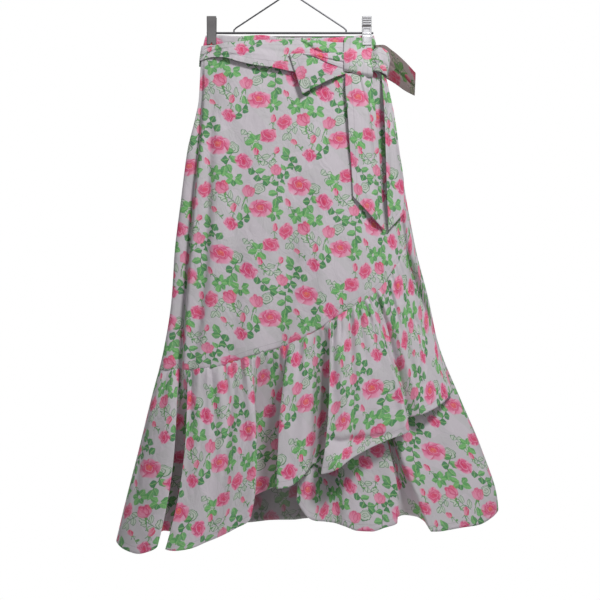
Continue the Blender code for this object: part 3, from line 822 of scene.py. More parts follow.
HANG_RIGHT = strip(
    (0.00, 164.0, 76, 172.0, 78, 9),
    (0.25, 168.0, 150, 187.0, 148, 12),
    (0.50, 170.0, 215, 196.0, 210, 12),
    (0.75, 172.0, 285, 204.0, 272, 11),
    (1.00, 175.0, 357, 203.0, 326, 8),
)


def end_left(across, down):
    soft = 1.5 * np.cos(across * 1.4 + 0.4) + 1.2 * np.sin(down * 5.0 + across) * down
    return ribbon(END_LEFT, across, down, soft)


def loop_left(across, down):
    pleat = -3.0 * bell(across - 0.25, 0.10) * (1 - smooth(0.5, 1.0, down))
    return ribbon(LOOP_LEFT, across, down, 2.2 * np.cos(across * 1.5) + pleat)


def end_right(across, down):
    curve = 3.0 * np.cos(across * 1.5) - 2.0 * bell(across + 0.1 - 0.4 * down, 0.12)
    return ribbon(END_RIGHT, across, down, curve)


def turn_right(across, down):
    curve = 4.0 * np.cos(across * 1.5) - 2.0 * bell(across - 0.3, 0.15)
    return ribbon(TURN_RIGHT, across, down, curve)


def hang_left(across, down):
    inner = 0.05 + 0.55 * smooth(0.0, 0.30, down)
    crease = -3.0 * bell(across - inner, 0.09) * (1 - smooth(0.25, 0.75, down))
    falls = -7.5 * smooth(0.35, 0.8, across) * (1 - 0.4 * down)
    swell = 1.6 * np.sin(down * 7.0 + across) + 1.8 * np.cos(across * 1.3)
    return ribbon(HANG_LEFT, across, down, crease + falls + swell)


def hang_right(across, down):
    lifted = 6.0 * smooth(-0.3, -1.0, across) * smooth(0.0, 0.2, down) * (1 - smooth(0.7, 1.0, down))
    falls = lifted - 5.0 * smooth(0.3, 1.0, across) * (1 - smooth(0.6, 1.0, down))
    crease = -1.8 * bell(across - 0.1 + 0.3 * down, 0.2)
    return ribbon(HANG_RIGHT, across, down, falls + crease + 1.2 * np.sin(down * 6.0))


RIBBONS = (
    # piece, its shape, columns, rows, where its middle lies on the print
    ("tie_end_left", hang_left, 34, 110, (0.11, 0.28)),
    ("tie_end_right", hang_right, 26, 110, (0.21, 0.06)),
    ("bow_end_left", end_left, 34, 40, (0.085, 0.16)),
    ("bow_left_fold", loop_left, 24, 36, (0.03, 0.21)),
    ("bow_end_right", end_right, 34, 44, (0.1, 0.02)),
    ("bow_right_fold", turn_right, 28, 30, (0.045, 0.07)),
    ("bow_knot", knot, 40, 60, (0.02, 0.11)),
)
for piece, shape, columns, rows, print_at in RIBBONS:
    hems = "left right bottom" if "end" in piece else "left right"
    sheet(piece, shape, even(-1, 1, columns), even(0, 1, rows), print_at, hems, piece == "bow_right_fold")

# %% [markdown]
# ## The rose print
#
# The cotton is printed with loose, watercolour roses.  There are open ones with an orange heart, curled
# ones, cups seen from the side on a stem, buds, sprays of leaves, and a few roses and leaves that are only
# drawn in line.  The cloth has no picture on it here: each kind of motif is drawn once by shader maths, in
# millimetres round its own middle, and set down at the spots of a repeat that steps down from column to
# column, as a half-drop print does.
#
# A small class makes that maths readable.  It wraps the output of a node, so a sum of two of them adds a
# Math node, and one method adds any other node.

# %% Maths on sockets
class Socket:
    """The output of one node in a material."""

    def __init__(self, tree, output=None):
        self.tree, self.output = tree, output

    def node(self, kind, settings=(), inputs=(), out=0):
        """Any node; a noise's inputs are 0 vector, 2 scale, 3 detail, 4 roughness and 8 distortion."""
        made = self.tree.nodes.new(kind)
        for name, value in dict(settings).items():
            if name == "stops":
                self.set_stops(made.color_ramp.elements, value)
            else:
                setattr(made, name, value)
        for index, value in dict(inputs).items():
            if isinstance(value, Socket):
                self.tree.links.new(value.output, made.inputs[index])
            else:
                made.inputs[index].default_value = value
        return Socket(self.tree, made.outputs[out])

    @staticmethod
    def set_stops(elements, stops):
        for where, colour in stops[1:-1]:
            elements.new(where)
        for element, (where, colour) in zip(elements, stops):
            element.position, element.color = where, colour

    def math(self, operation, *values):
        return self.node("ShaderNodeMath", {"operation": operation}, dict(enumerate(values)))

    def vector(self, operation, *values, out=0):
        return self.node("ShaderNodeVectorMath", {"operation": operation}, dict(enumerate(values)), out)

    def __add__(self, other):
        return self.math("ADD", self, other)

    def __sub__(self, other):
        return self.math("SUBTRACT", self, other)

    def __rsub__(self, other):
        return self.math("SUBTRACT", other, self)

    def __mul__(self, other):
        return self.math("MULTIPLY", self, other)

    def __truediv__(self, other):
        return self.math("DIVIDE", self, other)

    def __pow__(self, power):
        return self.math("POWER", self, power)

    def __abs__(self):
        return self.math("ABSOLUTE", self)

    def __lt__(self, other):
        return self.math("LESS_THAN", self, other)

    def __gt__(self, other):
        return self.math("GREATER_THAN", self, other)

    __radd__, __rmul__ = __add__, __mul__

    def part(self, axis):
        return self.node("ShaderNodeSeparateXYZ", {}, {0: self}, out=axis)

    def sine(self):
        return self.math("SINE", self)

    def fraction(self):
        return self.math("FRACT", self)

    def whole(self):
        return self.math("FLOOR", self)

    def root(self):
        return self.math("SQRT", self)

    def most(self, other):
        return self.math("MAXIMUM", self, other)

    def least(self, other):
        return self.math("MINIMUM", self, other)

    def rise(self, low, high):
        """0 below low and 1 above high; with low over high it falls instead."""
        settings = {"interpolation_type": "SMOOTHSTEP"}
        return self.node("ShaderNodeMapRange", settings, {0: self, 1: low, 2: high})

    def blend(self, under, over):
        """This mask, with one colour where it is 0 and the other where it is 1."""
        settings = {"data_type": "RGBA", "clamp_factor": True}
        return self.node("ShaderNodeMix", settings, {0: self, 6: under, 7: over}, out=2)

    def ramp(self, *stops):
        return self.node("ShaderNodeValToRGB", {"stops": stops}, {0: self})


def new_material(name):
    """A material with the tree of its nodes and its one shader."""
    material = bpy.data.materials.new(name)
    material.use_nodes = True
    return material, material.node_tree, material.node_tree.nodes["Principled BSDF"]


def dye(red, green, blue):
    """A colour as a dyer's card gives it, 0 to 255, in the linear values that Blender adds up."""
    share = [value / 255 for value in (red, green, blue)]
    return (*(s / 12.92 if s <= 0.04045 else ((s + 0.055) / 1.055) ** 2.4 for s in share), 1.0)


# %% [markdown]
# A motif is drawn where its spot is nearest.  The spot's two columns of numbers turn, shrink and move the
# cloth's own coordinates on to the motif, and its tint rides along in the third coordinate.

# %% Where the motifs go
REPEAT_WIDE, REPEAT_TALL, STEP_DOWN = 132.0, 176.0, 66.0
PRINT_SCALE = 900  # the motifs are drawn in mm and printed a tenth larger, so a metre takes 900 of them


def nearest_spot(cell, spots):
    """Where this point is on the motif whose spot is nearest: x and y in mm, and the spot's tint in z."""
    chosen, chosen_far = None, None
    for x, y, turn, size, tint in spots:
        middle_x = x / REPEAT_WIDE
        middle_y = (y + STEP_DOWN * middle_x) / REPEAT_TALL
        moved = cell.vector("ADD", cell, (0.5 - middle_x % 1, 0.5 - middle_y % 1, 0.5))
        moved = cell.vector("SUBTRACT", cell.vector("FRACTION", moved), (0.5, 0.5, 0.5))
        across, up = math.cos(math.radians(turn)) / size, math.sin(math.radians(turn)) / size
        rows = ((across, up), (-up, across))
        on_motif = []
        for row_x, row_y in rows:
            pull = (row_x * REPEAT_WIDE - row_y * STEP_DOWN, row_y * REPEAT_TALL, 0.0)
            on_motif.append(cell.vector("DOT_PRODUCT", moved, pull, out=1))
        here = cell.node("ShaderNodeCombineXYZ", {}, {0: on_motif[0], 1: on_motif[1], 2: tint})
        far = cell.vector("LENGTH", here, out=1)
        if chosen is None:
            chosen, chosen_far = here, far
            continue
        closer = far < chosen_far
        settings = {"data_type": "VECTOR", "clamp_factor": True}
        chosen = cell.node("ShaderNodeMix", settings, {0: closer, 4: chosen, 5: here}, out=1)
        chosen_far = far.least(chosen_far)
    return chosen


# x and y in the repeat, turn in degrees, size, tint
OPEN_ROSES = ((28, 138, 0, 0.84, 0.0), (96, 36, 12, 0.78, 0.35))
CURLED_ROSES = ((70, 112, -25, 0.82, 0.0), (110, 154, 20, 0.78, 0.5), (46, 12, 150, 0.66, 0.2),
                (4, 66, 60, 0.74, 0.8))
CUP_ROSES = ((34, 70, 25, 0.9, 0.1), (77, 64, -18, 0.84, 0.6), (122, 98, -30, 0.74, 0.9))
BUDS = ((90, 128, 10, 1.0, 0.0), (124, 130, -30, 0.9, 0.4), (52, 38, -15, 1.1, 0.6), (20, 34, 40, 0.9, 0.9),
        (118, 6, -10, 1.0, 0.3), (8, 112, 25, 1.0, 0.2))
SPRAYS = ((46, 110, 155, 1.0, 0.1), (98, 88, 220, 0.95, 0.3), (122, 60, 165, 1.0, 0.8), (14, 4, 20, 1.0, 0.6),
          (70, 26, -50, 0.95, 0.4), (4, 160, -35, 0.9, 0.7))
LEAF_CLUMPS = ((90, 144, 60, 0.95, 0.5), (54, 84, 0, 0.95, 0.1), (118, 28, 120, 0.9, 0.3),
               (22, 92, 30, 0.85, 0.9))
DRAWN_LEAVES = ((44, 50, 60, 0.85, 0.2), (108, 112, -140, 0.85, 0.5), (80, 148, 200, 0.8, 0.7),
                (14, 50, 130, 0.75, 0.4))
DRAWN_ROSES = ((52, 134, 0, 0.6, 0.0), (94, 68, 40, 0.55, 0.5))
print("motifs in a repeat:", sum(map(len, (OPEN_ROSES, CURLED_ROSES, CUP_ROSES, BUDS, SPRAYS, LEAF_CLUMPS,
                                           DRAWN_LEAVES, DRAWN_ROSES))))


# %% [markdown]
# A rose seen from the front is a spiral of petals.  With the angle and the distance from its heart, a sum
# of the two gives a spiral, and the fraction of that is a band that is dark where a petal goes under the
# next and pale at its lip.

# %% Roses
def rings(x, y, reach, drawn_low, lobes, turns):
    """How far out from the heart, 1 at the rim, and how far across a coiled petal and an outer one."""
    heart_y = y - reach * drawn_low
    angle = x.math("ARCTAN2", heart_y, x * 0.86)
    far = (x * x * 0.74 + heart_y * heart_y).root()
    rim = abs((angle * (lobes / 2) + 1.0).sine()) * 0.12 + (angle * 2 + 2.4).sine() * 0.06 + 0.05
    out = far / ((rim - angle.sine() * drawn_low + 0.86) * reach)
    coil = (out * turns + angle / (2 * math.pi) + (angle * 2 + 0.6).sine() * 0.2).fraction()
    outer = ((angle + 1.4) * (lobes / 2 / math.pi) + out * 0.55).fraction()
    return out, coil, outer


def petals(ink, out, coil, outer, heart, shade, lip):
    """Darken each petal where it goes under the next, and lighten its lip."""
    inside, outside = out.rise(heart + 0.06, heart - 0.06), out.rise(heart - 0.12, heart + 0.1)
    ink = ((1 - coil.rise(0.0, 0.36)) * inside * 0.85).blend(ink, shade)
    ink = (coil.rise(0.6, 1.0) * inside * out.rise(0.1, 0.4) * 0.7).blend(ink, lip)
    ink = ((1 - outer.rise(0.0, 0.3)) * outside * 0.7).blend(ink, shade)
    ink = (outer.rise(0.35, 0.9) * outside * 0.75).blend(ink, lip)
    return (abs(out - heart).rise(0.07, 0.01) * 0.6).blend(ink, shade)


def open_rose(at, blot):
    out, coil, outer = rings(at.part(0), at.part(1), 20.5, 0.22, 5, 3.4)
    ink = out.ramp((0.0, dye(236, 128, 78)), (0.2, dye(234, 92, 90)), (0.36, dye(228, 62, 116)),
                   (0.58, dye(230, 92, 144)), (0.85, dye(234, 128, 168)), (1.0, dye(230, 104, 152)))
    ink = (at.part(1).rise(4, -18) * out.rise(0.3, 0.7) * 0.5).blend(ink, dye(236, 172, 196))
    ink = petals(ink, out, coil, outer, 0.56, dye(208, 34, 96), dye(238, 184, 208))
    ink = (blot.rise(0.45, 0.75) * 0.35).blend(ink, dye(236, 160, 190))
    return out.rise(1.03, 0.86), (at.part(2) * 0.25).blend(ink, dye(234, 140, 172))


def curled_rose(at, blot):
    x = at.part(0)
    out, coil, outer = rings(x * 1.05, at.part(1) + (x * 0.3).sine() * 1.4, 16.5, 0.1, 6, 2.7)
    ink = out.ramp((0.0, dye(224, 56, 90)), (0.35, dye(224, 60, 120)), (0.75, dye(228, 86, 140)),
                   (1.0, dye(234, 126, 168)))
    ink = (at.part(0).rise(-10, 12) * out.rise(0.2, 0.6) * 0.5).blend(ink, dye(237, 158, 188))
    ink = petals(ink, out, coil, outer, 0.66, dye(200, 32, 96), dye(238, 182, 206))
    ink = (blot.rise(0.5, 0.8) * 0.3).blend(ink, dye(236, 154, 188))
    return out.rise(1.03, 0.84), (at.part(2) * 0.3).blend(ink, dye(232, 110, 136))


def cup_rose(at, blot):
    """A rose from the side: the cup of petals, and the green under it with its sepals and stem."""
    x, y, tint = at.part(0), at.part(1), at.part(2)
    wide, tall = 13.5, 12.5
    round_off = (x * x / wide ** 2 + y * y / tall ** 2).root()
    lip = ((x * 0.5 + 0.6).sine() * 0.09 + (x * 1.1).sine() * 0.04) * y.rise(-2, 8)
    cup = (round_off + lip).rise(1.03, 0.84)
    fan = x.math("ARCTAN2", x, y + tall * 1.3)
    streak = (fan * 26 + blot * 9).sine() * 0.5 + 0.5
    petal_left = ((x + 5) * (x + 5) + (y + 2) * (y + 2)).root()
    petal_right = ((x - 7) * (x - 7) + (y - 1) * (y - 1)).root()
    edges = (abs(petal_left - 11.5)).rise(1.6, 0.3).most(abs(petal_right - 9.0).rise(1.6, 0.3))
    ink = y.rise(-10, 11).blend(dye(235, 140, 174), dye(226, 76, 126))
    ink = (streak * 0.5).blend(ink, dye(238, 172, 196))
    ink = (petal_left.rise(12.5, 9.0) * petal_left.rise(5.0, 11.0) * 0.35).blend(ink, dye(222, 60, 114))
    ink = (edges * 0.7).blend(ink, dye(204, 40, 100))
    ink = (x.rise(3, 12) * y.rise(-6, 6) * 0.6).blend(ink, dye(230, 66, 90))
    ink = (tint * 0.4).blend(ink, dye(237, 164, 192))
    ink = (round_off.rise(0.72, 1.0) * 0.35).blend(ink, dye(206, 50, 104))
    under = y + tall
    swing = (under * 0.09).sine() * 3.0
    stem = abs(x - swing).rise(1.1, 0.5) * under.rise(-27, -26) * (under < 1.0)
    calyx = (x * x / 9.0 + (under + 0.5) * (under + 0.5) / 9.0).rise(1.1, 0.8)
    sepal = abs(abs(x) - 1.2 + under * 0.42 + under * under * 0.012).rise(0.95, 0.4)
    sepal = sepal * under.rise(-11, -9) * (under < 0.5)
    green = stem.most(calyx).most(sepal)
    return cup, ink, green, blot.rise(0.3, 0.7).blend(dye(60, 132, 74), dye(120, 180, 100))


def rose_bud(at, blot):
    x, y, tint = at.part(0), at.part(1), at.part(2)
    body = (x * x / 20.0 + y * y / 44.0 + x * y * 0.008).rise(1.05, 0.85)
    ink = (x * 0.5 + y * 0.12 + blot).rise(-1.2, 2.2).blend(dye(237, 158, 186), dye(220, 52, 106))
    ink = ((x * 1.4 - y * 0.4).sine().rise(0.5, 1.0) * 0.5).blend(ink, dye(234, 200, 218))
    under = y + 6.2
    stem = abs(x + (under * 0.16).sine() * 1.6).rise(0.95, 0.45) * under.rise(-17, -16) * (under < 0.5)
    calyx = (x * x / 6.0 + under * under / 5.0).rise(1.1, 0.8)
    sepal = abs(abs(x) - 1.0 + under * 0.75).rise(0.8, 0.3) * under.rise(-5.5, -4.5) * (under < 2.5)
    leaf = ((x - 4 - under * 0.1) * (x - 4) / 12.0 + (under + 11) * (under + 11) / 3.2).rise(1.1, 0.8)
    green = stem.most(calyx).most(sepal).most(leaf)
    ink = (tint * 0.4).blend(ink, dye(224, 120, 136))
    return body, ink, green, blot.rise(0.3, 0.7).blend(dye(64, 128, 84), dye(128, 178, 112))


# %% [markdown]
# A spray is one leaf, repeated.  Folding x to its absolute value gives both sides of the stem, and the
# fraction of y gives one leaf after another.  One side is moved half a step, so the leaves alternate.

# %% Leaves
def leaf_shape(along, across):
    """How far inside a leaf's outline a point is, on a leaf one long and about one wide."""
    half = (along.most(0.0) ** 0.6) * ((1 - along).most(0.0) ** 0.85) * 2.3
    return half - abs(across)


LAST_ROW = 1  # rows of leaves on a spray, counted from 0, before the one at its tip


def spray(at):
    """A leafy stem: how far inside a leaf, its stem, and across and along that leaf, and a number for it."""
    x, y, tint = at.part(0), at.part(1), at.part(2)
    pitch, slope = 16.5, math.radians(30)
    length, width, tip_length = 16.5, 7.2, 17.0
    stem_y = y + 16.0
    bent = x - (stem_y * 0.07 + tint * 3).sine() * 2.6
    right = bent > 0.0
    row = (stem_y + right * (pitch / 2)) / pitch
    number = row.whole()
    up = (row.fraction() - 0.5) * pitch + length / 2 * math.sin(slope)
    out = abs(bent) - 0.4
    along = (out * math.cos(slope) + up * math.sin(slope)) / length
    across = (up * math.cos(slope) - out * math.sin(slope)) / width
    leaf_number = x.node("ShaderNodeCombineXYZ", {}, {0: number, 1: right, 2: tint})
    which = x.node("ShaderNodeTexWhiteNoise", {"noise_dimensions": "3D"}, {0: leaf_number})
    across = across * (which * 0.45 + 0.8)
    side = leaf_shape(along / (0.66 + which * 0.4), across) * (number > -0.5) * (number < LAST_ROW + 0.5)
    tip_y = stem_y - (LAST_ROW + 0.45) * pitch
    tip = leaf_shape(tip_y / tip_length, bent / width)
    in_tip = tip > 0.0
    inside = side.most(tip)
    stem = abs(bent).rise(0.85, 0.4) * stem_y.rise(-7, -6) * (tip_y < 2.0)
    leaf_across = in_tip * (bent / width) + (1 - in_tip) * across
    leaf_along = in_tip * (tip_y / tip_length) + (1 - in_tip) * along
    return inside, stem, leaf_across, leaf_along, which


def leaf_spray(at, blot):
    inside, stem, across, along, which = spray(at)
    ink = (which * 0.9 + blot * 0.5 - 0.25).rise(0.1, 0.65).blend(dye(76, 140, 92), dye(124, 190, 120))
    ink = (across.rise(-0.15, 0.15) * 0.5).blend(ink, dye(54, 138, 66))
    ribs = (along * 6 - abs(across) * 1.3).fraction().rise(0.28, 0.0) * 0.45
    ink = ribs.blend(ink, dye(34, 96, 58))
    ink = (abs(across).rise(0.13, 0.04) * 0.6).blend(ink, dye(160, 208, 130))
    ink = (inside.rise(0.16, 0.0) * 0.5).blend(ink, dye(36, 104, 60))
    leaf = inside.rise(-0.03, 0.14)
    return leaf, ink, stem, dye(76, 118, 78)


def leaf_clump(at, blot):
    """Up to six uneven leaves that spread from one point, some pale and some dark."""
    x, y = at.part(0), at.part(1)
    turned = (x.math("ARCTAN2", y, x) / (2 * math.pi) + at.part(2)) * 6 + 6.5
    far = (x * x + y * y).root()
    which = x.node("ShaderNodeTexWhiteNoise", {"noise_dimensions": "1D"}, {1: turned.whole() + at.part(2)})
    off_rib = (turned.fraction() - which * 0.3 - 0.35) * (2 * math.pi / 6)
    length = which * 9.0 + 9.0
    along = (far * off_rib.math("COSINE", off_rib) - 2.5) / length
    across = far * off_rib.sine() / (which * 2.4 + 5.2)
    inside = leaf_shape(along, across) - (which < 0.2)
    ink = (which + blot * 0.4 - 0.2).rise(0.15, 0.75).blend(dye(74, 142, 90), dye(122, 192, 114))
    ink = (across.rise(-0.12, 0.12) * 0.4).blend(ink, dye(60, 146, 70))
    ink = ((along * 5 - abs(across) * 1.2).fraction().rise(0.25, 0.0) * 0.35).blend(ink, dye(40, 108, 62))
    ink = (abs(across).rise(0.12, 0.03) * 0.6).blend(ink, dye(164, 212, 134))
    return inside.rise(-0.03, 0.14), ink


def line_spray(at):
    inside, stem, across, _, _ = spray(at)
    line = inside.rise(0.0, 0.05) * inside.rise(0.26, 0.12)
    rib = abs(across).rise(0.12, 0.05) * (inside > 0.0)
    return inside.rise(0.0, 0.05) * 0.35, line.most(rib * 0.8).most(stem * 0.9)


def line_rose(at):
    out, coil, _ = rings(at.part(0), at.part(1), 16.0, 0.15, 5, 2.6)
    line = coil.rise(0.2, 0.08).most(coil.rise(0.9, 1.0)) * out.rise(1.0, 0.97)
    rim = abs(out - 0.95).rise(0.07, 0.03)
    return out.rise(1.0, 0.95) * 0.3, line.most(rim)


# %% [markdown]
# The colours go down in the order that a printer would lay them: drawn lines first, then stems, leaves,
# buds and roses.  A slow noise moves the coordinates by about a millimetre, so no edge is exact, and
# another thins the ink in places.

# %% The print on both sides of the cotton
GROUND = dye(209, 202, 209)
HEM_DEPTH = 11.0  # mm from a finished edge to its line of stitches
COVER = 0.93  # the share of the ground that the ink hides


def rose_print(tree):
    start = Socket(tree)
    cloth = start.node("ShaderNodeUVMap", {"uv_map": "cloth"})
    in_mm = start.vector("MULTIPLY", cloth, (PRINT_SCALE, PRINT_SCALE, 0))
    wobble = start.node("ShaderNodeTexNoise", {}, {0: in_mm, 2: 0.13, 3: 1.5}, out=1)
    wobble = start.vector("MULTIPLY_ADD", wobble, (5.0, 5.0, 0), (-2.5, -2.5, 0))
    painted = start.vector("ADD", in_mm, wobble)
    blot = start.node("ShaderNodeTexNoise", {}, {0: in_mm, 2: 0.28, 3: 2.0})
    x, y = painted.part(0), painted.part(1)
    stepped = (y + x * (STEP_DOWN / REPEAT_WIDE)) / REPEAT_TALL
    cell = start.node("ShaderNodeCombineXYZ", {}, {0: x / REPEAT_WIDE, 1: stepped})

    ink = GROUND
    drawn = (line_rose(nearest_spot(cell, DRAWN_ROSES)), line_spray(nearest_spot(cell, DRAWN_LEAVES)))
    for fill, line in drawn:
        ink = fill.blend(ink, dye(186, 222, 176))
        ink = (line * 0.9).blend(ink, dye(74, 128, 84))
    leaf, leaf_ink, stem, stem_ink = leaf_spray(nearest_spot(cell, SPRAYS), blot)
    cup, cup_ink, cup_green, cup_leaf = cup_rose(nearest_spot(cell, CUP_ROSES), blot)
    bud, bud_ink, bud_green, bud_leaf = rose_bud(nearest_spot(cell, BUDS), blot)
    curl, curl_ink = curled_rose(nearest_spot(cell, CURLED_ROSES), blot)
    rose, rose_ink = open_rose(nearest_spot(cell, OPEN_ROSES), blot)
    clump, clump_ink = leaf_clump(nearest_spot(cell, LEAF_CLUMPS), blot)
    painted_over = ((stem, stem_ink), (cup_green, cup_leaf), (clump, clump_ink), (leaf, leaf_ink),
                    (bud_green, bud_leaf), (bud, bud_ink), (cup, cup_ink), (curl, curl_ink), (rose, rose_ink))
    for mask, colour in painted_over:
        ink = (mask * COVER).blend(ink, colour)
    return in_mm, ink


def cotton(name, seen_from_behind=None):
    """The printed cotton; for its wrong side, how a colour goes over the print, its share and the colour: an
    unbleached grey, or painted shade on the bow's right tail.
    """
    material, tree, shader = new_material(name)
    in_mm, ink = rose_print(tree)
    start = Socket(tree)
    if seen_from_behind:
        how, share, greige_or_painted_shade = seen_from_behind
        settings = {"data_type": "RGBA", "blend_type": how}
        ink = start.node("ShaderNodeMix", settings, {0: share, 6: ink, 7: greige_or_painted_shade}, out=2)
    edge = start.node("ShaderNodeAttribute", {"attribute_name": "edge"}, out=2) * 1000
    turned = abs(edge - HEM_DEPTH).rise(0.9, 0.3)
    ink = (turned * 0.22).blend(ink, dye(150, 140, 148))
    tree.links.new(ink.output, shader.inputs["Base Color"])
    threads = start.vector("MULTIPLY", in_mm, (1.6, 0.5, 0))
    weave = start.node("ShaderNodeTexNoise", {}, {0: threads, 2: 1.0, 3: 2.0})
    creased = start.vector("MULTIPLY", in_mm, (0.045, 0.03, 0))
    wrinkle = start.node("ShaderNodeTexNoise", {}, {0: creased, 2: 1.0, 3: 3.0, 4: 0.55, 8: 0.8})
    height = weave * 0.00005 + wrinkle * 0.0035 - turned * 0.0003
    bump = start.node("ShaderNodeBump", {}, {0: 0.8, 1: 1.0, "Height": height})
    tree.links.new(bump.output, shader.inputs["Normal"])
    for socket, value in (("Roughness", 0.82), ("Specular IOR Level", 0.25), ("Sheen Weight", 0.08),
                          ("Sheen Roughness", 0.5)):
        shader.inputs[socket].default_value = value
    print(name, "has", len(tree.nodes), "nodes")
    return material


print_cotton = cotton("rose print cotton")
wrong_side = cotton("rose print cotton, wrong side", ("MIX", 0.64, dye(122, 115, 117)))
# The bow's right tail shows its wrong side with the print multiplied darker: painted shade, as if it lay in
# the sash's shadow.
tail_wrong_side_in_painted_shade = cotton("rose print cotton, wrong side of the sash in painted shade", ("MULTIPLY", 1.0, dye(164, 150, 144)))

# %% [markdown]
# ## The hanger's steel
#
# The bar, the yoke and the hook are dark drawn wire.  The two clips don't match: the left one is dull and
# plain, and the right one is bright plated steel.  Each finish is bare metal with its own roughness, broken
# up by fine lines along the length, which is how drawing and stamping leave steel.

# %% Steel finishes
def steel(name, colour, roughness, streak, uneven):
    """Bare metal; streak is how fine its lines are along X, Y and Z, and uneven how far they roughen it."""
    material, tree, shader = new_material(name)
    start = Socket(tree)
    here = start.node("ShaderNodeTexCoord", {}, {}, out=3)
    lines = start.node("ShaderNodeTexNoise", {}, {0: start.vector("MULTIPLY", here, streak), 2: 1.0, 3: 3.0})
    tree.links.new((lines * uneven + (roughness - uneven / 2)).output, shader.inputs["Roughness"])
    darker = tuple(c * 0.88 for c in colour[:3]) + (1.0,)
    tree.links.new(lines.rise(0.35, 0.65).blend(darker, colour).output, shader.inputs["Base Color"])
    bump = start.node("ShaderNodeBump", {}, {0: 0.06, 1: 0.0001, "Height": lines})
    tree.links.new(bump.output, shader.inputs["Normal"])
    shader.inputs["Metallic"].default_value = 1.0
    return material


dark_steel = steel("dark drawn steel", dye(98, 98, 102), 0.38, (40.0, 1400.0, 1400.0), 0.10)
dull_steel = steel("dull stamped steel", dye(118, 116, 117), 0.46, (1400.0, 1400.0, 60.0), 0.10)
bright_steel = steel("bright plated steel", dye(240, 240, 244), 0.24, (1400.0, 1400.0, 60.0), 0.06)

studio_white, _, white_shader = new_material("studio white")
white_shader.inputs["Base Color"].default_value = dye(250, 250, 250)
white_shader.inputs["Roughness"].default_value = 0.9

# %% [markdown]
# A clip is two stamped jaws on a spring that slides on the bar.  A jaw starts as a flat grid with a column
# of points on each side of every bend; the edges are rolled back, the profile gives the handle's flare and
# the step over the cloth, and Solidify and Bevel turn it into stamped sheet.  The left jaw has a notch in
# the middle of its lip.  The right one has ribs for the thumb and a raised frame round a sunk panel.  Its
# grooves, its step, the walls of its panel and its rolled edges take the darker dull steel as painted shade.

# %% Clip jaws
STEEL_WALL = 1.0
NOTCH = 3.2
JAW_COLUMNS = (-8.4, -8.2, -7.2, -6.2, -5.6, -1.7, -1.5, 1.5, 1.7, 5.6, 6.2, 7.2, 8.2, 8.4)


def jaw(name, middle, side, profile, drops, relief, finish, notch=0.0, painted_shade_at=None):
    """One stamped jaw; side is 1 in front and -1 behind, relief(x, drop) raises or sinks its face."""
    stamped = bmesh.new()
    bmesh.ops.create_grid(stamped, x_segments=len(JAW_COLUMNS) - 1, y_segments=len(drops) - 1, size=1.0)
    for vertex in stamped.verts:
        x = JAW_COLUMNS[round((vertex.co.x + 1) / 2 * (len(JAW_COLUMNS) - 1))]
        drop = drops[round((1 - vertex.co.y) / 2 * (len(drops) - 1))]
        rolled = 1.3 * float(smooth(7.4, 8.4, abs(x)))
        forward = float(profile.at("forward", drop)) - rolled + relief(x, drop)
        vertex.co = (MM * (middle + x), -MM * side * forward, -MM * (BAR_DROP + drop))
    if notch:
        low = [face for face in stamped.faces if abs(face.calc_center_median().x / MM - middle) < 1.5
               and -face.calc_center_median().z / MM - BAR_DROP > drops[-1] - notch]
        bmesh.ops.delete(stamped, geom=low, context="FACES")
    # painted shade: the chosen faces take the second, darker material
    if painted_shade_at:
        for face in stamped.faces:
            centre = face.calc_center_median() / MM
            face.material_index = int(painted_shade_at(centre.x - middle, -centre.z - BAR_DROP))
    if side < 0:
        bmesh.ops.reverse_faces(stamped, faces=stamped.faces)
    mesh = bpy.data.meshes.new(name)
    stamped.to_mesh(mesh)
    stamped.free()
    made = bpy.data.objects.new(name, mesh)
    bpy.context.scene.collection.objects.link(made)
    wall = made.modifiers.new("sheet steel", "SOLIDIFY")
    wall.thickness, wall.offset = STEEL_WALL * MM, 0.0
    soft = made.modifiers.new("stamped edges", "BEVEL")
    soft.width, soft.segments, soft.limit_method = 0.22 * MM, 2, "ANGLE"
    mesh.materials.append(finish)
    # the second slot, dull steel, is the painted shade on the right jaw's grooves, step and panel walls
    mesh.materials.append(dull_steel)
    print(name, "from", drops[0], "to", drops[-1], "mm below the bar")
    return made


def plain_face(x, drop):
    return 0.0


def ribs_and_frame(x, drop):
    rib = 0.6 * math.cos((drop + 27) * math.pi / 2) * (-27.5 < drop < -12.5) * (abs(x) < 7.3)
    sunk = -1.1 * (abs(x) < 5.9) * (-6.5 < drop < 18.5)
    step = -0.9 * (-12.5 < drop < -9.5)
    return rib + sunk + step


def painted_shade_on_grip_and_walls(x, drop):
    """Painted shade: the faces that take the darker dull steel, in the grip's grooves, in the step, down the
    walls of the panel and along the rolled edges.
    """
    groove = -27.5 < drop < -12.5 and abs(x) < 7.3 and math.cos((drop + 27) * math.pi / 2) < 0.4
    step = -12.5 < drop < -9.5
    wall = 5.6 < abs(x) < 6.2 and -6.5 < drop < 18.5 or abs(x) < 6.2 and (-7 < drop < -6 or 18 < drop < 19)
    return groove or step or wall or abs(x) > 8.2


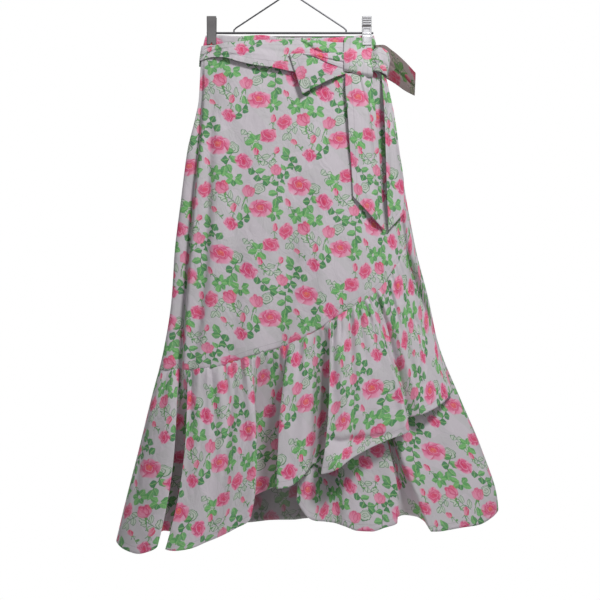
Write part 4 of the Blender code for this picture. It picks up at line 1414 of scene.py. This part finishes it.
LEFT_JAW = Table("drop forward", (-29, 7.6), (-21, 7.2), (-8, 5.5), (4, 4.8), (8, 4.7), (21, 4.7))
RIGHT_JAW = Table("drop forward", (-29, 7.9), (-13, 6.6), (-8, 6.2), (0, 6.4), (8, 10.2), (23, 10.2))
BACK_JAW = Table("drop forward", (-29, 7.7), (-21, 7.3), (-8, 5.5), (-4, 4.7), (4, 4.7), (8, 3.6), (21, 3.6))
plain_drops = (-29, -25, -21, -16, -12, -8, -4, 0, 4, 6, 8, 12, 17.5, 18, 21)
ribbed_drops = (-29, *np.arange(-28, -12.9, 1.0), -12, -10, -9, -7, -6, -4, 0, 2, 4, 6, 8, 13, 18, 19, 23)
plain = (plain_drops, plain_face)
jaws = (
    (jaw("clip_left_jaw", CLIP_LEFT, 1, LEFT_JAW, *plain, dull_steel, NOTCH), "clip_left_front"),
    (jaw("clip_left_back_jaw", CLIP_LEFT, -1, BACK_JAW, *plain, dull_steel), "clip_left_back"),
    # the right front jaw gets painted shade in its grooves, step and panel walls
    (jaw("clip_right_jaw", CLIP_RIGHT, 1, RIGHT_JAW, ribbed_drops, ribs_and_frame, bright_steel,
         painted_shade_at=painted_shade_on_grip_and_walls), "clip_right_front"),
    (jaw("clip_right_back_jaw", CLIP_RIGHT, -1, BACK_JAW, *plain, bright_steel), "clip_right_back"),
)
for stamped_jaw, solid in jaws:
    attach(stamped_jaw, "root")
    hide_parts(solid)

# %% [markdown]
# The wire parts are already right as solids: a drawn bar, a bent yoke and hook, and two rolled springs.
# They keep their own meshes and only take on the steel.

# %% Wire of the hanger
WIRES = {"hanger_bar": dark_steel, "hanger_yoke": dark_steel, "hanger_hook": dark_steel,
         "clip_left_spring": dull_steel, "clip_right_spring": bright_steel}
for name, finish in WIRES.items():
    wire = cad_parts[name].data
    wire.materials.clear()
    wire.materials.append(finish)
    wire.polygons.foreach_set("use_smooth", [True] * len(wire.polygons))
print("wire pieces:", len(WIRES))

# %% [markdown]
# ## Ready to render
#
# Each sheet rides on the one body and stands for the solid of its name.  The two extra folds of the bow stand
# for no solid of their own.

# %% Pieces and their solids
HELD = (
    ("hung", "front_overlap front_underlap back_panel"),
    ("gathered", "overlap_ruffle underlap_ruffle back_ruffle"),
    ("hung", "overlap_waistband underlap_waistband back_waistband"),
    ("draped", "sash_front sash_back tie_end_left tie_end_right"),
    ("folded", "bow_end_left bow_end_right bow_knot bow_left_fold bow_right_fold"),
)
for held, pieces in HELD:
    for piece in pieces.split():
        cloth = bpy.data.objects[piece + "_cloth"]
        cloth.data.materials.append(print_cotton)
        # the bow's right tail takes the wrong side darkened with painted shade
        cloth.data.materials.append(tail_wrong_side_in_painted_shade if piece == "bow_end_right" else wrong_side)
        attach(cloth, "root")
        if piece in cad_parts:
            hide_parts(piece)

# %% [markdown]
# The skirt hangs clear of everything, so the floor is a plain pale disc well below it.  The main light is
# small and comes from the viewer's right and above, at a slant, so each fold has a lit flank and a dark one.
# The world looks white behind the skirt but gives only a little light of its own, which keeps the deep
# folds dark, and steel reflects it at a little over half strength.  A wide lamp behind serves the views of
# the back.

# %% Floor, light and camera
MIDDLE = (0, 0, -0.6)
BACKGROUND, FILL, IN_STEEL = 1.0, 0.21, 0.5


def soft_light(name, size, power, place):
    light = bpy.data.lights.new(name, "AREA")
    light.size, light.energy = size, power
    lamp = bpy.data.objects.new(name, light)
    bpy.context.scene.collection.objects.link(lamp)
    lamp.location = place
    lamp.rotation_euler = (Vector(MIDDLE) - Vector(place)).to_track_quat("-Z", "Y").to_euler()


disc = bmesh.new()
bmesh.ops.create_circle(disc, cap_ends=True, radius=1.2, segments=96)
bmesh.ops.translate(disc, verts=disc.verts, vec=(0, 0, -1.55))  # half a metre below the hem
floor_mesh = bpy.data.meshes.new("floor")
disc.to_mesh(floor_mesh)
disc.free()
floor = bpy.data.objects.new("floor", floor_mesh)
bpy.context.scene.collection.objects.link(floor)
floor_mesh.materials.append(studio_white)

soft_light("main", 0.4, 34, (0.8, -1.45, 1.05))
soft_light("front", 1.6, 3.4, (-0.6, -2.5, 0.1))
soft_light("behind", 2.0, 45, (-0.8, 2.6, 0.7))
world = bpy.data.worlds.new("studio")
world.use_nodes = True
sky = world.node_tree
seen = sky.nodes.new("ShaderNodeLightPath")
share = sky.nodes.new("ShaderNodeMapRange")
share.inputs["To Min"].default_value, share.inputs["To Max"].default_value = FILL, BACKGROUND
bright = sky.nodes.new("ShaderNodeMath")
bright.operation = "MULTIPLY_ADD"
bright.inputs[1].default_value = IN_STEEL
sky.links.new(seen.outputs["Is Glossy Ray"], bright.inputs[0])
sky.links.new(seen.outputs["Is Camera Ray"], bright.inputs[2])
sky.links.new(bright.outputs[0], share.inputs["Value"])
sky.links.new(share.outputs["Result"], sky.nodes["Background"].inputs["Strength"])
sky.nodes["Background"].inputs["Color"].default_value = (1, 1, 1, 1)
bpy.context.scene.world = world
bpy.context.scene.view_settings.view_transform = "Standard"

eye = bpy.data.cameras.new("eye")
eye.lens, eye.sensor_width = 73.3, 36.0
camera = bpy.data.objects.new("eye", eye)
bpy.context.scene.collection.objects.link(camera)
camera.location = (0.018, -2.2, -0.6156)
camera.rotation_euler = (math.pi / 2, 0, 0)
bpy.context.scene.camera = camera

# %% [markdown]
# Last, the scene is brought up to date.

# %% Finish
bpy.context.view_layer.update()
